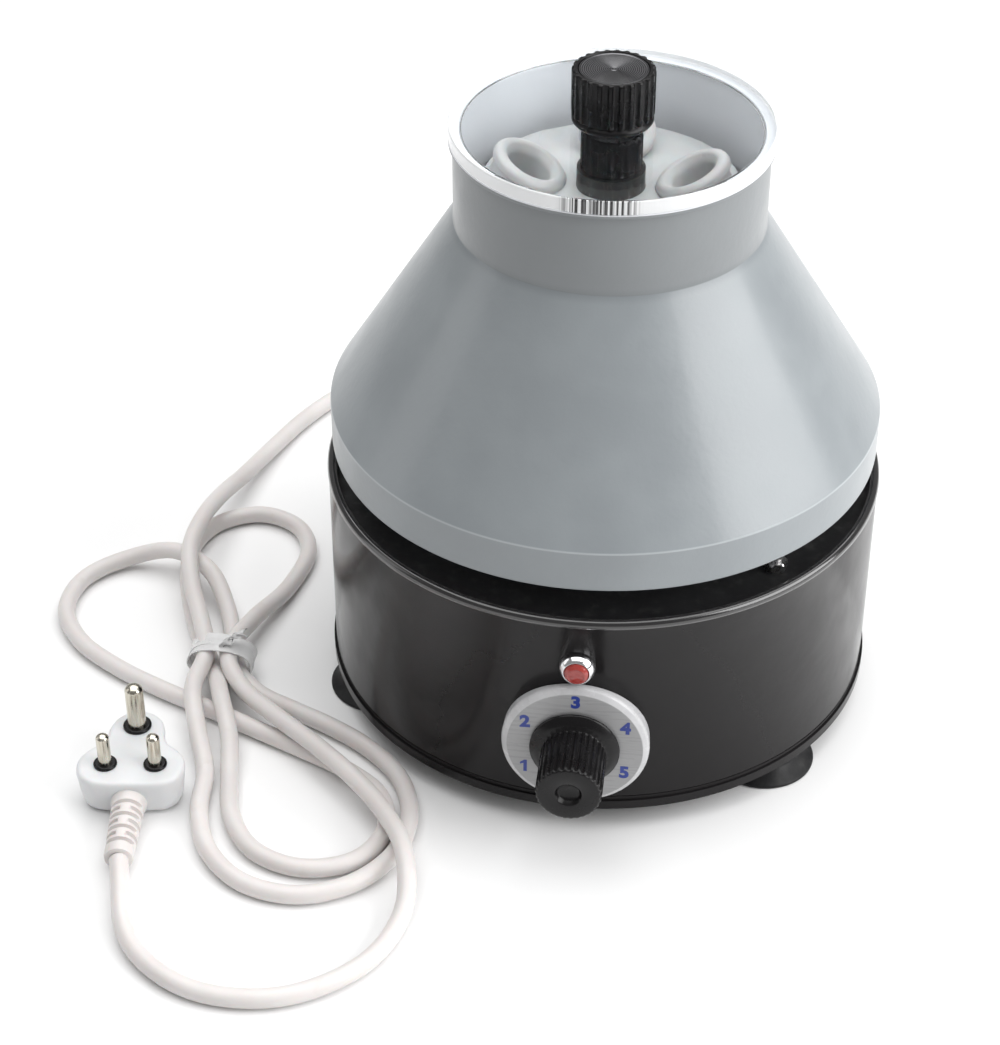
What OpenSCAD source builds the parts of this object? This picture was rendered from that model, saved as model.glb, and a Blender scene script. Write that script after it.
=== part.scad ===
// Bench clinical centrifuge: round black base with speed switch and pilot lamp,
// grey conical guard bowl, clear lift-off lid, four-place angle rotor, mains lead and plug.
// Millimetres, +Z up, dial faces -Y, origin on the bench under the rotor axis.

/* [Base] */
// Outside radius of the base drum
base_r = 107; // [100:1:115]
// Height of the base drum
base_h = 89; // [86:1:95]
// Height of the rubber feet under the drum
foot_h = 10; // [8:1:14]
// Thickness of the sheet steel
sheet_t = 1.2; // [1:0.1:2]
// Radius of the circle that the feet stand on
foot_circle_r = 91; // [85:1:92]
// Angle of the first foot, anticlockwise from the dial
foot_turn = 50; // [40:1:60]

/* [Bowl] */
// Air gap between the drum's rim and the bowl
bowl_gap = 12.5; // [10:0.5:15]
// Outside radius of the bowl's straight lower band
bowl_r = 105; // [100:1:106]
// Height of the bowl's straight lower band
band_h = 16.5; // [12:0.5:20]
// Height of the cone
cone_h = 76.5; // [70:0.5:80]
// Outside radius of the neck
neck_r = 57.4; // [54:0.2:60]
// Height of the neck
neck_h = 32.7; // [30:0.1:36]

/* [Lid] */
// Radius of the clear lid
lid_r = 58.9; // [57:0.1:60]
// Thickness of the clear lid
lid_t = 5.5; // [4:0.5:6]
// Radius of the lid's knob
lid_knob_r = 15; // [13:0.5:18]
// Height of the lid's knob
lid_knob_h = 20.7; // [18:0.1:24]

/* [Rotor] */
// Bore radius of a tube sleeve
tube_bore_r = 8.5; // [8:0.1:9]
// Angle between a tube and the rotor axis
tube_tilt = 26; // [24:1:27]
// Distance from the rotor axis to the middle of a sleeve's mouth
mouth_r = 28.5; // [28:0.5:30]
// Length of a tube sleeve
sleeve_len = 104; // [98:1:106]
// Radius of the rotor's top disc
rotor_disc_r = 47.5; // [45:0.5:49]
// Radius of the motor shaft
shaft_r = 4; // [3:0.5:4]

/* [Controls] */
// Radius of the dial plate
dial_r = 27.5; // [25:0.5:30]
// Height of the dial's middle above the bench
dial_z = 43; // [40:1:46]
// Height of the pilot lamp above the bench
lamp_z = 78.3; // [76:0.1:80]
// Length of the speed knob in front of the dial
speed_knob_len = 26; // [22:1:30]

/* [Lead] */
// Diameter of the mains lead
cord_d = 7.2; // [6.8:0.1:7.4]
// Thickness of the plug's body
plug_t = 17; // [16:0.5:20]

/* [Hidden] */

$fn = 96;
eps = 0.01;
// Clearance of parts that sit in one another without moving
seat_gap = 0.1;

// Levels above the bench
base_z = foot_h;
rim_z = base_z + base_h;
deck_z = rim_z - 7;
bowl_z = rim_z + bowl_gap;
band_top_z = bowl_z + band_h;
neck_z = band_top_z + cone_h;
lid_z = neck_z + neck_h;
lid_top_z = lid_z + lid_t;

// Bowl sheet and its lip
bowl_t = 1.4;
lip_t = 1.5;
lip_inner_r = lid_r - 4;
floor_z = bowl_z + bowl_t;

// Lid
lid_step_h = 1.8;
lid_step_r = lip_inner_r - 0.6;
lid_screw_r = 2.5;

// Studs that carry the bowl above the deck
stud_r = 2.5;
stud_circle_r = 90;
nut_h = 4;
nut_r = 4.6;

// Rotor
rotor_top_z = lid_z - 17.2;
rotor_disc_z = rotor_top_z - 7.3;
rotor_disc_t = 2.5;
hub_r = 12.5;
hub_bottom_z = rotor_top_z - 60;
mouth_z = rotor_top_z + 0.5;
flange_t = 4;
flange_r = 14.4;
sleeve_r = 10.2;
socket_r = sleeve_r + seat_gap + 2.2;
socket_len = 56;
rotor_nut_r = 11.25;
rotor_nut_h = 14.4;

// Motor levels, from the lower bearing up
bearing_r = 11;
bearing_h = 7;
race_t = 2.4;
// Running clearance between a bearing's outer part and its inner race
race_gap = 0.04;
lower_bearing_z = base_z + 4;
commutator_z = base_z + 12;
commutator_h = 8;
core_z = base_z + 28;
core_h = 22;
coil_h = 7;
fan_z = core_z + core_h + coil_h + 1;
fan_h = 6;
bracket_t = 4;
upper_bracket_z = deck_z - 2 - 8 - bracket_t;
upper_bearing_z = upper_bracket_z + 2;
bracket_r = 47;
stator_r = 40;
armature_r = 22.5;
air_gap = 0.8;
bolt_circle_r = 43.5;

// Controls
switch_r = 19;
switch_len = 22;
switch_back_y = -base_r + 3.5 + switch_len;
dial_t = 4;
lamp_r = 6.7;
lens_r = 4.5;
dial_face_y = -base_r - dial_t;

// Lead, gland and plug
gland_z = 24;
gland_len = 30;
gland_y = base_r + gland_len;
plug_x = -169.4;
plug_y = -110.7;
plug_turn = 6;
plug_lobe_r = 11.3;
plug_sleeve_len = 30;
pin_spacing = 19.05;
earth_offset = 22.2;
line_pin_r = 2.54;
line_pin_len = 14.9;
earth_pin_r = 3.53;
earth_pin_len = 20.6;
collar_h = 1.4;
pin_root_len = 6;
pin_step = 0.4;
lead_z = 7;
tie_t = 1;

// Heights of the lead's centre line: on the bench, over one strand, over two strands, and inside the tie
lay = cord_d / 2;
over = lay + cord_d + 0.4;
top = over + cord_d + 0.8;
tied = lay + tie_t + 0.3;
tied_over = tied + cord_d + 0.3;

// Point at a distance in front of the plug's line pins, along the plug's own axis
function before_plug(dist, z) = [
    plug_x + dist * sin(plug_turn),
    plug_y - dist * cos(plug_turn),
    z
];
plug_exit = plug_lobe_r + plug_sleeve_len;

// Route of the lead's centre line, from the gland to the plug
CORD_ROUTE = [
    [0, gland_y, gland_z],
    [0, gland_y + 11, gland_z - 1],
    [-6, gland_y + 28, 16],
    [-21, gland_y + 45, 8],
    [-46, 195, 4],
    [-76, 200, lay],
    [-106, 193, lay],
    [-131, 174, lay],
    [-148, 148, lay],
    [-159, 119, 5],
    [-166, 92, 9],
    [-171, 68, 15],
    [-174, 46, top],
    [-175, 24, top],
    [-170, 3, 16],
    [-162, -17, 13],
    [-156, -36, tied_over],
    [-157, -57, over],
    [-151, -78, 8],
    [-144, -98, 4],
    [-142, -119, lay],
    [-134, -140, lay],
    [-118, -155, lay],
    [-97, -159, lay],
    [-78, -151, lay],
    [-65, -134, lay],
    [-62, -113, lay],
    [-69, -92, lay],
    [-84, -76, lay],
    [-101, -65, lay],
    [-117, -57, lay],
    [-132, -49, lay],
    [-143, -37, tied],
    [-149, -18, lay],
    [-155, 1, 5],
    [-166, 19, over],
    [-184, 31, over],
    [-204, 32, 5],
    [-220, 18, lay],
    [-223, -4, lay],
    [-212, -24, lay],
    [-193, -39, lay],
    [-171, -51, lay],
    [-149, -61, lay],
    [-128, -71, lay],
    [-109, -80, lay],
    [-90, -90, lay],
    [-75, -103, lay],
    [-70, -122, lay],
    [-79, -139, lay],
    [-98, -145, lay],
    [-117, -138, lay],
    [-129, -121, lay],
    [-134, -100, lay],
    [-138, -80, 8],
    [-145, -61, over],
    [-153, -37, tied],
    [-163, -17, lay],
    [-171, 3, lay],
    [-177, 24, lay],
    [-179, 45, lay],
    [-171, 63, lay],
    [-154, 71, lay],
    [-137, 64, lay],
    [-129, 47, lay],
    [-133, 20, 4],
    [-142, -8, 9],
    [-147, -36, tied_over],
    [-138, -54, over],
    [-121, -70, over],
    [-103, -85, over],
    [-86, -101, over],
    [-71, -119, over],
    [-60, -140, over],
    [-57, -165, 5],
    [-68, -191, lay],
    [-94, -209, lay],
    [-126, -209, lay],
    [-152, -190, 4],
    before_plug(plug_exit, lead_z)
];

// ---- Shared shapes ----

module ring(outer_r, inner_r, h) {
    difference() {
        cylinder(r = outer_r, h = h);
        translate([0, 0, -1])
            cylinder(r = inner_r, h = h + 2);
    }
}

// Copies spread round the rotor axis, the first one at an angle from the dial's side
module around(count, radius, first = 0) {
    for (i = [0 : count - 1])
        rotate([0, 0, first - 90 + i * 360 / count])
            translate([radius, 0, 0])
                children();
}

module hex_nut(r, hole_r, h) {
    difference() {
        cylinder(r = r, h = h, $fn = 6);
        translate([0, 0, -1])
            cylinder(r = hole_r, h = h + 2, $fn = 48);
    }
}

module fluted(r, h, flutes, flute_r, sink) {
    linear_extrude(height = h)
        difference() {
            circle(r = r);
            for (i = [0 : flutes - 1])
                rotate([0, 0, i * 360 / flutes])
                    translate([r + flute_r - sink, 0])
                        circle(r = flute_r, $fn = 32);
        }
}

// A part drawn along +Z is turned to point out of the front wall, at a height
module on_front(z, y = -base_r) {
    translate([0, y, z])
        rotate([90, 0, 0])
            children();
}

// ---- Base ----

// Drum with a rolled rim, and lugs inside its foot for the cover's screws
module base_shell() {
    bead_r = 2;
    bead_proud = 0.4;
    lug_h = 6.5;
    color("#242224")
    difference() {
        union() {
            rotate_extrude()
                union() {
                    translate([base_r - sheet_t, base_z + sheet_t])
                        square([sheet_t, base_h - sheet_t - bead_r]);
                    translate([base_r - bead_r + bead_proud, rim_z - bead_r])
                        circle(r = bead_r, $fn = 48);
                }
            around(3, base_r - 12, foot_turn + 60)
                translate([0, -5, base_z + sheet_t + 0.5])
                    cube([11.5, 10, lug_h]);
        }
        around(3, base_r - 7, foot_turn + 60)
            translate([0, 0, base_z])
                cylinder(r = 1.72, h = lug_h + 4, $fn = 48);
        translate([0, -base_r + 8, dial_z])
            rotate([90, 0, 0])
                cylinder(r = 5.2, h = 20);
        translate([0, -base_r + 8, lamp_z])
            rotate([90, 0, 0])
                cylinder(r = 5.1, h = 20);
        translate([0, base_r - 8, gland_z])
            rotate([-90, 0, 0])
                cylinder(r = 6.1, h = 20);
    }
}

module deck_plate() {
    plate_r = base_r - sheet_t - 0.2;
    color("#1c1b1d")
    difference() {
        union() {
            translate([0, 0, deck_z - 2])
                cylinder(r = plate_r, h = 2);
            translate([0, 0, deck_z - 6])
                ring(plate_r, plate_r - 1.5, 5);
        }
        translate([0, 0, deck_z - 5])
            cylinder(r = 18, h = 10);
        around(3, stud_circle_r, foot_turn)
            translate([0, 0, deck_z - 5])
                cylinder(r = stud_r + seat_gap, h = 10, $fn = 48);
        around(3, 34, 0)
            translate([0, 0, deck_z - 5])
                cylinder(r = 2.1, h = 10, $fn = 48);
    }
}

module bottom_cover() {
    slot_l = 34;
    slot_w = 4;
    color("#2c2b2d")
    difference() {
        union() {
            translate([0, 0, base_z])
                cylinder(r = base_r + 0.9, h = sheet_t);
            translate([0, 0, base_z])
                ring(base_r + 0.9, base_r + 0.05, 3.8);
        }
        for (i = [-3 : 3])
            for (side = [-1, 1])
                translate([side * 42 - slot_l / 2, i * 11 - slot_w / 2, base_z - 1])
                    cube([slot_l, slot_w, 4]);
        around(3, foot_circle_r, foot_turn)
            translate([0, 0, base_z - 1])
                cylinder(r = 2.6, h = 4, $fn = 48);
        around(3, base_r - 7, foot_turn + 60)
            translate([0, 0, base_z - 1])
                cylinder(r = 1.8, h = 4, $fn = 48);
    }
}

module cover_screws() {
    color("silver")
    around(3, base_r - 7, foot_turn + 60) {
        translate([0, 0, base_z - 2])
            cylinder(r = 3.4, h = 2, $fn = 48);
        translate([0, 0, base_z - eps])
            cylinder(r = 1.7, h = 9, $fn = 48);
    }
}

// Flared rubber cup with a hollow in its sole and a recess for its screw
module foot(i) {
    color("#1a1a1c")
    rotate([0, 0, foot_turn - 90 + (i - 1) * 120])
        translate([foot_circle_r, 0, 0])
            difference() {
                rotate_extrude()
                    polygon([
                        [0, 0.8], [15, 0.8], [16.5, 0], [20, 0], [20, 1.2], [17.5, 3.2],
                        [14, foot_h - 3], [13, foot_h], [0, foot_h]
                    ]);
                translate([0, 0, -1])
                    cylinder(r = 4.7, h = 6, $fn = 48);
                translate([0, 0, 2])
                    cylinder(r = 2.6, h = foot_h, $fn = 48);
            }
}

module foot_screws() {
    color("silver")
    around(3, foot_circle_r, foot_turn) {
        translate([0, 0, 2.2])
            cylinder(r = 4.4, h = 2.8, $fn = 48);
        translate([0, 0, 5 - eps])
            cylinder(r = 2.5, h = foot_h + 1, $fn = 48);
        translate([0, 0, base_z + sheet_t])
            hex_nut(nut_r, 2.45, 3);
    }
}

// ---- Bowl ----

module bowl() {
    cone_top_r = neck_r + 0.05;
    slope = (bowl_r - cone_top_r) / cone_h;
    // How far the cone's inner face starts below its outer one, at the band and at the neck
    inner_drop = bowl_t * (sqrt(1 + slope * slope) - 1) / slope;
    cone_edge = bowl_t * sqrt(1 + slope * slope) / slope;
    color("#8d9699")
    rotate_extrude()
        polygon([
            [bowl_r - 7, bowl_z],
            [bowl_r - 1, bowl_z],
            [bowl_r - 0.3, bowl_z + 0.3],
            [bowl_r, bowl_z + 1],
            [bowl_r, band_top_z],
            [cone_top_r, neck_z],
            [cone_top_r, neck_z - cone_edge],
            [bowl_r - bowl_t, band_top_z - inner_drop],
            [bowl_r - bowl_t, bowl_z + bowl_t],
            [bowl_r - 7, bowl_z + bowl_t]
        ]);
}

// Rolled ring let into the cone's top, with the lip that carries the lid
module bowl_neck() {
    color("#8d9699")
    rotate_extrude()
        polygon([
            [neck_r, neck_z - 3],
            [neck_r, lid_z - lip_t],
            [lid_r, lid_z - lip_t],
            [lid_r, lid_z],
            [lip_inner_r, lid_z],
            [lip_inner_r, lid_z - lip_t],
            [neck_r - bowl_t, lid_z - lip_t - 0.6],
            [neck_r - bowl_t, neck_z - 3]
        ]);
}

module bowl_floor() {
    color("#8d9699")
    difference() {
        union() {
            translate([0, 0, floor_z])
                cylinder(r = bowl_r - bowl_t - 0.1, h = 1.5);
            translate([0, 0, floor_z])
                cylinder(r = 17, h = 8);
        }
        translate([0, 0, floor_z - 1])
            cylinder(r = 15.5, h = 7.5);
        translate([0, 0, floor_z])
            cylinder(r = 7, h = 12);
        around(3, stud_circle_r, foot_turn)
            translate([0, 0, floor_z - 1])
                cylinder(r = stud_r + seat_gap, h = 4, $fn = 48);
    }
}

module bowl_studs() {
    color("silver")
    around(3, stud_circle_r, foot_turn)
        translate([0, 0, deck_z - 2 - nut_h - 2])
            cylinder(r = stud_r, h = floor_z - deck_z + 16, $fn = 48);
}

module bowl_nuts() {
    hole_r = stud_r + 0.02;
    color("silver")
    around(3, stud_circle_r, foot_turn) {
        translate([0, 0, deck_z - 2 - nut_h])
            hex_nut(nut_r, hole_r, nut_h);
        translate([0, 0, deck_z])
            hex_nut(nut_r, hole_r, nut_h);
        translate([0, 0, floor_z - nut_h])
            hex_nut(nut_r, hole_r, nut_h);
        translate([0, 0, floor_z + 1.5])
            hex_nut(nut_r, hole_r, nut_h);
    }
}

// ---- Lid ----

module lid_disc() {
    round_r = 0.6;
    color("#dfe6ea", 0.4)
    difference() {
        union() {
            rotate_extrude()
                polygon([
                    [0, lid_z], [lid_r - round_r, lid_z], [lid_r, lid_z + round_r],
                    [lid_r, lid_top_z - round_r], [lid_r - round_r, lid_top_z], [0, lid_top_z]
                ]);
            translate([0, 0, lid_z - lid_step_h])
                cylinder(r = lid_step_r, h = lid_step_h + 1);
        }
        translate([0, 0, lid_z - 5])
            cylinder(r = lid_screw_r + seat_gap, h = 15, $fn = 48);
        translate([0, 0, lid_z - lid_step_h - eps])
            cylinder(r1 = 4.8, r2 = lid_screw_r, h = 2.4, $fn = 48);
    }
}

module lid_knob() {
    collar_h = 2.6;
    color("#1f1e20")
    translate([0, 0, lid_top_z])
        difference() {
            union() {
                rotate_extrude()
                    polygon([
                        [0, 0], [lid_knob_r - 1.6, 0], [lid_knob_r - 0.5, 0.6],
                        [lid_knob_r, 1.6], [lid_knob_r, collar_h], [0, collar_h]
                    ]);
                translate([0, 0, collar_h])
                    fluted(lid_knob_r, lid_knob_h - collar_h, 24, 1.3, 0.75);
            }
            translate([0, 0, lid_knob_h - 0.8])
                cylinder(r = 12.8, h = 2);
            translate([0, 0, -1])
                cylinder(r = lid_screw_r + 0.02, h = 13, $fn = 48);
        }
}

module lid_knob_insert() {
    color("#4a494b")
    translate([0, 0, lid_top_z + lid_knob_h - 0.8])
        cylinder(r = 12.6, h = 0.6);
}

module lid_knob_screw() {
    color("silver")
    translate([0, 0, lid_z - lid_step_h]) {
        cylinder(r1 = 4.6, r2 = lid_screw_r - 0.1, h = 2.3, $fn = 48);
        cylinder(r = lid_screw_r, h = lid_t + lid_step_h + 11, $fn = 48);
    }
}

// ---- Rotor ----

// Turns +Z to a tube's axis, with the origin in the middle of the sleeve's mouth
module at_mouth(i) {
    rotate([0, 0, (i - 1) * 90])
        translate([mouth_r, 0, mouth_z])
            rotate([0, -tube_tilt, 0])
                children();
}

module rotor_head() {
    color("#e6e8e4")
    difference() {
        union() {
            translate([0, 0, hub_bottom_z])
                cylinder(r = hub_r, h = rotor_top_z - hub_bottom_z);
            translate([0, 0, rotor_disc_z - rotor_disc_t])
                cylinder(r = rotor_disc_r, h = rotor_disc_t);
            translate([0, 0, rotor_disc_z - 9])
                ring(rotor_disc_r, rotor_disc_r - 2, 8);
        }
        for (i = [1 : 4])
            at_mouth(i) {
                translate([0, 0, -socket_len])
                    cylinder(r = socket_r + 0.05, h = socket_len + 30);
                translate([0, 0, -flange_t])
                    cylinder(r = flange_r + 0.2, h = 30);
            }
        translate([0, 0, hub_bottom_z - 1])
            cylinder(r = shaft_r + 0.02, h = 80, $fn = 48);
    }
}

// Four cups bonded into the head; the flange of a sleeve rests on each
module rotor_sockets() {
    color("#e6e8e4")
    for (i = [1 : 4])
        at_mouth(i)
            translate([0, 0, -socket_len])
                ring(socket_r, sleeve_r + seat_gap, socket_len - flange_t);
}

module tube_sleeve(i) {
    color("#eceeea")
    at_mouth(i)
        difference() {
            rotate_extrude()
                polygon([
                    [0, -sleeve_len], [sleeve_r - 2, -sleeve_len], [sleeve_r, -sleeve_len + 3],
                    [sleeve_r, -flange_t], [flange_r, -flange_t], [flange_r, -1.2],
                    [flange_r - 1.2, 0], [0, 0]
                ]);
            translate([0, 0, -sleeve_len + 4])
                cylinder(r = tube_bore_r, h = sleeve_len);
            translate([0, 0, -1.8])
                cylinder(r1 = tube_bore_r, r2 = tube_bore_r + 2, h = 1.8 + eps);
        }
}

module rotor_nut() {
    color("#1f1e20")
    translate([0, 0, rotor_top_z])
        difference() {
            fluted(rotor_nut_r, rotor_nut_h, 20, 1.2, 0.6);
            translate([0, 0, -1])
                cylinder(r = shaft_r + 0.02, h = 12, $fn = 48);
        }
}

module rotor_seat() {
    color("#b59a4d")
    translate([0, 0, hub_bottom_z - 12])
        ring(9, shaft_r + 0.02, 12);
}

// ---- Controls ----

// Flat disc in front, with a back that follows the drum
module dial_plate() {
    edge = 0.8;
    color("#b4b5b7")
    difference() {
        on_front(dial_z, -base_r + 6)
            difference() {
                rotate_extrude()
                    polygon([
                        [0, 0], [dial_r, 0], [dial_r, dial_t + 6 - edge],
                        [dial_r - edge, dial_t + 6], [0, dial_t + 6]
                    ]);
                translate([0, 0, -1])
                    cylinder(r = 5.2, h = 20, $fn = 48);
                translate([0, 0, -1])
                    cylinder(r = 9, h = 9.5);
            }
        cylinder(r = base_r + 0.05, h = 120, $fn = 96);
    }
}

module speed_knob() {
    skirt_r = 16.7;
    body_r = 12.2;
    skirt_h = 3;
    bore_r = 3.02;
    color("#232224")
    on_front(dial_z, dial_face_y - 0.6)
        difference() {
            union() {
                rotate_extrude()
                    polygon([
                        [0, 0], [skirt_r, 0], [skirt_r, 1], [skirt_r - 2.2, skirt_h],
                        [body_r - 1, skirt_h + 0.6], [0, skirt_h + 0.6]
                    ]);
                translate([0, 0, skirt_h])
                    fluted(body_r, speed_knob_len - skirt_h - 1.4, 30, 0.8, 0.5);
                translate([0, 0, speed_knob_len - 1.4])
                    cylinder(r1 = body_r - 0.5, r2 = body_r - 1.5, h = 0.8);
            }
            translate([0, 0, speed_knob_len - 2.6])
                cylinder(r1 = 3.4, r2 = 4.4, h = 3);
            translate([0, 0, -1])
                cylinder(r = bore_r, h = 17, $fn = 48);
            translate([0, 0, -1])
                cylinder(r = 7.5, h = 6.2, $fn = 48);
        }
}

module switch_body() {
    color("#5b4636")
    on_front(dial_z, switch_back_y)
        difference() {
            union() {
                cylinder(r = switch_r, h = switch_len);
                cylinder(r = 4.9, h = switch_len + 8.1);
            }
            translate([0, 0, -1])
                cylinder(r = 3.05, h = switch_len + 20, $fn = 48);
        }
}

module switch_shaft() {
    color("#c9b26a")
    on_front(dial_z, switch_back_y)
        cylinder(r = 3, h = switch_len + 21.5, $fn = 48);
}

// Six positions at the dial's spacing, on the back of the switch
module switch_contacts() {
    color("#c9b26a")
    translate([0, switch_back_y, dial_z])
        rotate([-90, 0, 0])
            for (i = [0 : 5])
                rotate([0, 0, i * 60])
                    translate([12, -1.5, 0])
                        cube([1, 3, 8]);
}

module lamp_bezel() {
    barrel_r = 5;
    color("#e8e8ea")
    difference() {
        union() {
            difference() {
                on_front(lamp_z)
                    rotate_extrude()
                        polygon([
                            [0, -0.6], [lamp_r, -0.6], [lamp_r, 1.4], [lamp_r - 0.5, 2.8],
                            [lamp_r - 1.4, 3.8], [lens_r + 0.2, 4.4], [0, 4.4]
                        ]);
                cylinder(r = base_r + 0.05, h = 2 * lamp_z);
            }
            on_front(lamp_z, -base_r + 12)
                cylinder(r = barrel_r, h = 13);
        }
        on_front(lamp_z, -base_r + 14)
            cylinder(r = lens_r - 0.3, h = 30, $fn = 48);
        on_front(lamp_z, -base_r - 2.2)
            cylinder(r = lens_r + 0.05, h = 10, $fn = 48);
    }
}

module lamp_lens() {
    color("#b83a34")
    on_front(lamp_z, -base_r - 2.3)
        rotate_extrude()
            polygon([
                [0, 0], [lens_r, 0], [lens_r, 2.2], [lens_r - 1.1, 3.4],
                [lens_r - 2.6, 4.1], [0, 4.4]
            ]);
}

module lamp_body() {
    color("#d8d4c8")
    on_front(lamp_z, -base_r + 30)
        cylinder(r = lens_r - 0.32, h = 30, $fn = 48);
}

// The nut that holds the switch, on the drum's outside, and the lamp's nut inside it
module panel_nuts() {
    color("silver") {
        on_front(dial_z, -base_r - 0.2)
            hex_nut(7, 4.92, 2);
        on_front(lamp_z, -base_r + sheet_t + 3.1)
            hex_nut(7, 5.02, 2.6);
    }
}

// ---- Motor ----

module motor_shaft() {
    color("#c0c2c4")
    translate([0, 0, lower_bearing_z])
        cylinder(r = shaft_r, h = rotor_top_z + 10 - lower_bearing_z, $fn = 48);
}

// Round end plate with holes for the through bolts and the cooling air
module bracket_plate(h, hole_r, vent_turn) {
    difference() {
        cylinder(r = bracket_r, h = h);
        translate([0, 0, -1])
            cylinder(r = hole_r, h = h + 2);
        for (i = [0 : 3])
            rotate([0, 0, 45 + i * 90])
                translate([bolt_circle_r, 0, -1])
                    cylinder(r = 2.05, h = h + 2, $fn = 48);
        for (i = [0 : 5])
            rotate([0, 0, vent_turn + i * 60])
                translate([27, 0, -1])
                    cylinder(r = 4.5, h = h + 2, $fn = 48);
    }
}

module bearing_boss(h) {
    ring(bearing_r + 3, bearing_r + 0.02, h);
}

module upper_bracket() {
    color("#a9abad")
    difference() {
        union() {
            translate([0, 0, upper_bracket_z])
                bracket_plate(bracket_t, bearing_r + 2, 0);
            translate([0, 0, upper_bracket_z])
                bearing_boss(bearing_h + 3);
        }
        around(3, 34, 0)
            translate([0, 0, upper_bracket_z - 1])
                cylinder(r = 2.1, h = 8, $fn = 48);
    }
}

module lower_bracket() {
    color("#a9abad") {
        translate([0, 0, lower_bearing_z])
            bracket_plate(3, bearing_r + 2, 30);
        translate([0, 0, lower_bearing_z])
            bearing_boss(bearing_h);
    }
}

module bearing_pair() {
    translate([0, 0, lower_bearing_z])
        children();
    translate([0, 0, upper_bearing_z])
        children();
}

module bearing_outer_races() {
    color("#c8cacc")
    bearing_pair()
        ring(bearing_r, bearing_r - race_t + race_gap, bearing_h);
}

module bearing_inner_races() {
    color("#c8cacc")
    bearing_pair()
        ring(bearing_r - race_t, shaft_r + 0.02, bearing_h);
}

// Two-pole lamination stack: a ring with two shoes that wrap the armature
module stator_core() {
    bore = armature_r + air_gap;
    color("#7d7f82")
    translate([0, 0, core_z])
        linear_extrude(height = core_h)
            difference() {
                circle(r = stator_r);
                circle(r = bore);
                difference() {
                    circle(r = stator_r - 6);
                    circle(r = bore + 3);
                    square([2 * stator_r, 22], center = true);
                }
                square([16, 2 * bore + 8], center = true);
            }
}

// One closed coil round each pole: sides in the slots, joined by end turns above and below the stack
module field_coils() {
    inner = armature_r + air_gap + 3.4;
    outer = stator_r - 6.4;
    color("#a8552a")
    translate([0, 0, core_z - coil_h])
        difference() {
            linear_extrude(height = core_h + 2 * coil_h)
                difference() {
                    circle(r = outer);
                    circle(r = inner);
                    square([17, 2 * stator_r], center = true);
                }
            translate([-stator_r, -11.4, coil_h - 0.3])
                cube([2 * stator_r, 22.8, core_h + 0.6]);
        }
}

module armature_core() {
    color("#8b8d90")
    translate([0, 0, core_z])
        linear_extrude(height = core_h)
            difference() {
                circle(r = armature_r);
                circle(r = shaft_r + 0.02);
                for (i = [0 : 11])
                    rotate([0, 0, i * 30])
                        translate([14, -1.3])
                            square([10, 2.6]);
            }
}

// End turns above and below the core, joined by the bars that lie in its slots
module armature_winding() {
    color("#b8642e")
    difference() {
        union() {
            for (z = [core_z - coil_h, core_z + core_h + 0.1])
                translate([0, 0, z])
                    cylinder(r = 20, h = coil_h - 0.1);
            for (i = [0 : 11])
                rotate([0, 0, i * 30])
                    translate([14.2, -1.15, core_z - 1])
                        cube([5.6, 2.3, core_h + 2]);
        }
        translate([0, 0, core_z - coil_h - 1])
            cylinder(r = shaft_r + 1.5, h = core_h + 2 * coil_h + 2);
    }
}

module commutator() {
    color("#c47a45")
    translate([0, 0, commutator_z])
        linear_extrude(height = commutator_h)
            difference() {
                circle(r = 11);
                circle(r = shaft_r + 0.02);
                for (i = [0 : 23])
                    rotate([0, 0, i * 15])
                        translate([9.8, -0.3])
                            square([3, 0.6]);
            }
}

module motor_fan() {
    hub = 8;
    color("#4c4d50")
    translate([0, 0, fan_z]) {
        difference() {
            union() {
                cylinder(r = hub, h = fan_h);
                cylinder(r = 34, h = 1);
                for (i = [0 : 8])
                    rotate([0, 0, i * 40])
                        translate([hub - 1, -0.6, 0])
                            cube([34 - hub, 1.2, fan_h]);
            }
            translate([0, 0, -1])
                cylinder(r = shaft_r + 0.02, h = fan_h + 2, $fn = 48);
        }
    }
}

// The brushes and their holders sit on the lower bracket, on either side of the commutator
module both_sides() {
    for (a = [0, 180])
        rotate([0, 0, a])
            children();
}

module brush_holders() {
    color("#6b3b22")
    both_sides()
        translate([16, -5, lower_bearing_z + 3])
            difference() {
                cube([18, 10, 13]);
                translate([-1, 1.9, 5.5])
                    cube([20, 6.2, 6.2]);
            }
}

module carbon_brushes() {
    color("#2a2a2b")
    both_sides()
        translate([11.35, -3, lower_bearing_z + 8.6])
            cube([14, 6, 6]);
}

module motor_bolts() {
    bolt_bottom = lower_bearing_z - 2.6;
    color("silver")
    for (i = [0 : 3])
        rotate([0, 0, 45 + i * 90])
            translate([bolt_circle_r, 0, bolt_bottom]) {
                cylinder(r = 3.6, h = 2.6, $fn = 6);
                cylinder(r = 2, h = upper_bracket_z + bracket_t - bolt_bottom + 4, $fn = 48);
                translate([0, 0, upper_bracket_z + bracket_t - bolt_bottom])
                    cylinder(r = 3.6, h = 3, $fn = 6);
            }
}

module rubber_mounts() {
    color("#222224")
    around(3, 34, 0)
        translate([0, 0, upper_bracket_z + bracket_t])
            ring(7, 2.1, 8);
}

module mount_screws() {
    color("silver")
    around(3, 34, 0) {
        translate([0, 0, deck_z])
            cylinder(r = 3.6, h = 2.4, $fn = 48);
        translate([0, 0, upper_bracket_z - 3])
            cylinder(r = 2, h = deck_z - upper_bracket_z + 3 + eps, $fn = 48);
        translate([0, 0, upper_bracket_z - 3.2])
            hex_nut(3.9, 1.98, 3.2);
    }
}

// ---- Electrical parts ----

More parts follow.
